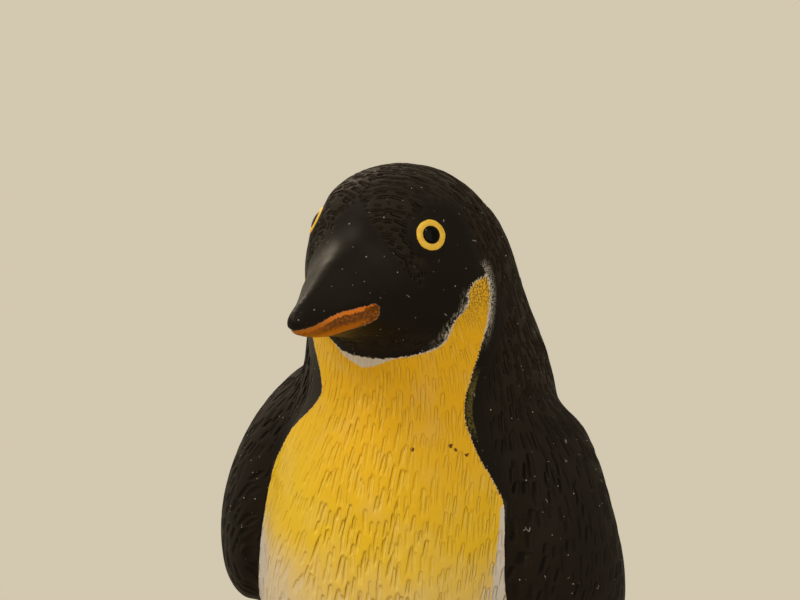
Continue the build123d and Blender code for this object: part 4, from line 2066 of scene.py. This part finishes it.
@dataclass
class Studio:
    """Floor, light and camera, in metres; the floor's soft edge is in millimetres from the middle."""

    backdrop: tuple = colour(211, 200, 176)
    target: tuple[float, float, float] = (0.0, 0.007, 0.0713)
    azimuth: float = 24.0
    elevation: float = 11.0
    roll: float = 2.0
    distance: float = 0.2
    focal_pixels: float = 1538.0
    picture_width: float = 800.0
    offset_pixels: float = 28.0
    floor_size: float = 3.0
    floor_sides: int = 96
    floor_edge: tuple[float, float] = (45.0, 70.0)
    lamps: tuple[Lamp, ...] = (
        Lamp("key", (-0.36, -0.24, 0.56), 0.32, 2.5, (1.0, 0.95, 0.87)),
        Lamp("fill", (0.42, -0.36, 0.34), 0.5, 0.95, (1.0, 0.96, 0.9)),
        Lamp("spark", (0.207, -0.205, 0.497), 0.07, 0.4, (1.0, 0.96, 0.9)),
        Lamp("rim", (-0.46, 0.42, 0.4), 0.28, 1.5, (1.0, 0.84, 0.64)),
    )
    ambient: float = 0.52

    def build(self) -> None:
        """Makes the floor, the lamps, the world and the camera."""
        self.make_floor()
        for lamp in self.lamps:
            self.make_lamp(lamp)
        self.make_world()
        self.make_camera()
        bpy.context.scene.view_settings.view_transform = "Standard"

    def make_floor(self) -> None:
        """A pale round floor that turns into the backdrop's colour away from the figure."""
        sides = self.floor_sides
        angles = np.linspace(0, 2 * math.pi, sides, endpoint=False)
        rim = np.stack([np.cos(angles), np.sin(angles), np.zeros(sides)], axis=1) * self.floor_size
        obj = scratch_object("floor", build_mesh("floor", rim, [tuple(range(sides))]))
        material, write, shader, place = start_material("floor_paper")
        shader.inputs["Base Color"].default_value = self.backdrop
        shader.inputs["Roughness"].default_value = 0.9
        glow = write.fed("ShaderNodeEmission", {"Color": self.backdrop})
        path = write.add("ShaderNodeLightPath").outputs
        seen = write.most(path["Is Camera Ray"], path["Is Glossy Ray"])
        share = write.times(write.step(write.length(place), *self.floor_edge), seen)
        output = material.node_tree.nodes["Material Output"]
        write.feed(output.inputs["Surface"], write.mixed(share, shader, glow))
        obj.data.materials.append(material)

    def make_lamp(self, lamp: Lamp) -> None:
        """One soft lamp, aimed at the figure.

        Args:
            lamp: its place, size, power and tint.
        """
        data = bpy.data.lights.new(lamp.name, "AREA")
        data.shape = "SQUARE"
        data.size = lamp.size
        data.energy = lamp.power
        data.color = lamp.tint
        obj = scratch_object(lamp.name, data)
        aim = (Vector(self.target) - Vector(lamp.place)).to_track_quat("-Z", "Y")
        obj.matrix_world = Matrix.Translation(lamp.place) @ aim.to_matrix().to_4x4()

    def make_world(self) -> None:
        """Even light from all round, and the backdrop's colour behind the figure."""
        world = bpy.data.worlds.new("studio")
        bpy.context.scene.world = world
        world.use_nodes = True
        write = NodeWriter(world.node_tree)
        light = world.node_tree.nodes["Background"]
        light.inputs["Color"].default_value = self.backdrop
        light.inputs["Strength"].default_value = self.ambient
        behind = write.fed("ShaderNodeBackground", {"Color": self.backdrop, "Strength": 1.0})
        path = write.add("ShaderNodeLightPath").outputs
        seen = write.most(path["Is Camera Ray"], path["Is Glossy Ray"])
        seen = write.most(seen, path["Is Transmission Ray"])
        output = world.node_tree.nodes["World Output"]
        write.feed(output.inputs["Surface"], write.mixed(seen, light, behind))

    def make_camera(self) -> None:
        """The camera at the photograph's angle, lens and framing."""
        turn = math.radians(self.azimuth)
        back = way_out(self.azimuth, self.elevation)
        right = Vector((math.cos(turn), math.sin(turn), 0.0))
        up = back.cross(right)
        place = Vector(self.target) + back * self.distance
        basis = Matrix((right, up, back)).transposed()
        yaw = Matrix.Rotation(math.atan(self.offset_pixels / self.focal_pixels), 3, "Y")
        tilt = Matrix.Rotation(math.radians(self.roll), 3, "Z")
        data = bpy.data.cameras.new("camera")
        data.sensor_width = 36.0
        data.lens = self.focal_pixels / self.picture_width * data.sensor_width
        data.clip_start = 0.01
        obj = scratch_object("camera", data)
        obj.matrix_world = Matrix.Translation(place) @ (basis @ tilt @ yaw).to_4x4()
        bpy.context.scene.camera = obj


def main() -> None:
    """Builds the figure's pieces in order, then the studio round it."""
    logging.basicConfig(level=logging.INFO, format="%(name)s: %(message)s")
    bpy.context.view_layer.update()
    palette = Palette()
    for builder in (Skin(), Eyes(), Feet()):
        pieces = builder.build(palette)
        LOG.info("%s made %d pieces", type(builder).__name__, len(pieces))
    dress_plug(palette)
    Studio().build()
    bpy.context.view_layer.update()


if __name__ == "__main__":
    main()
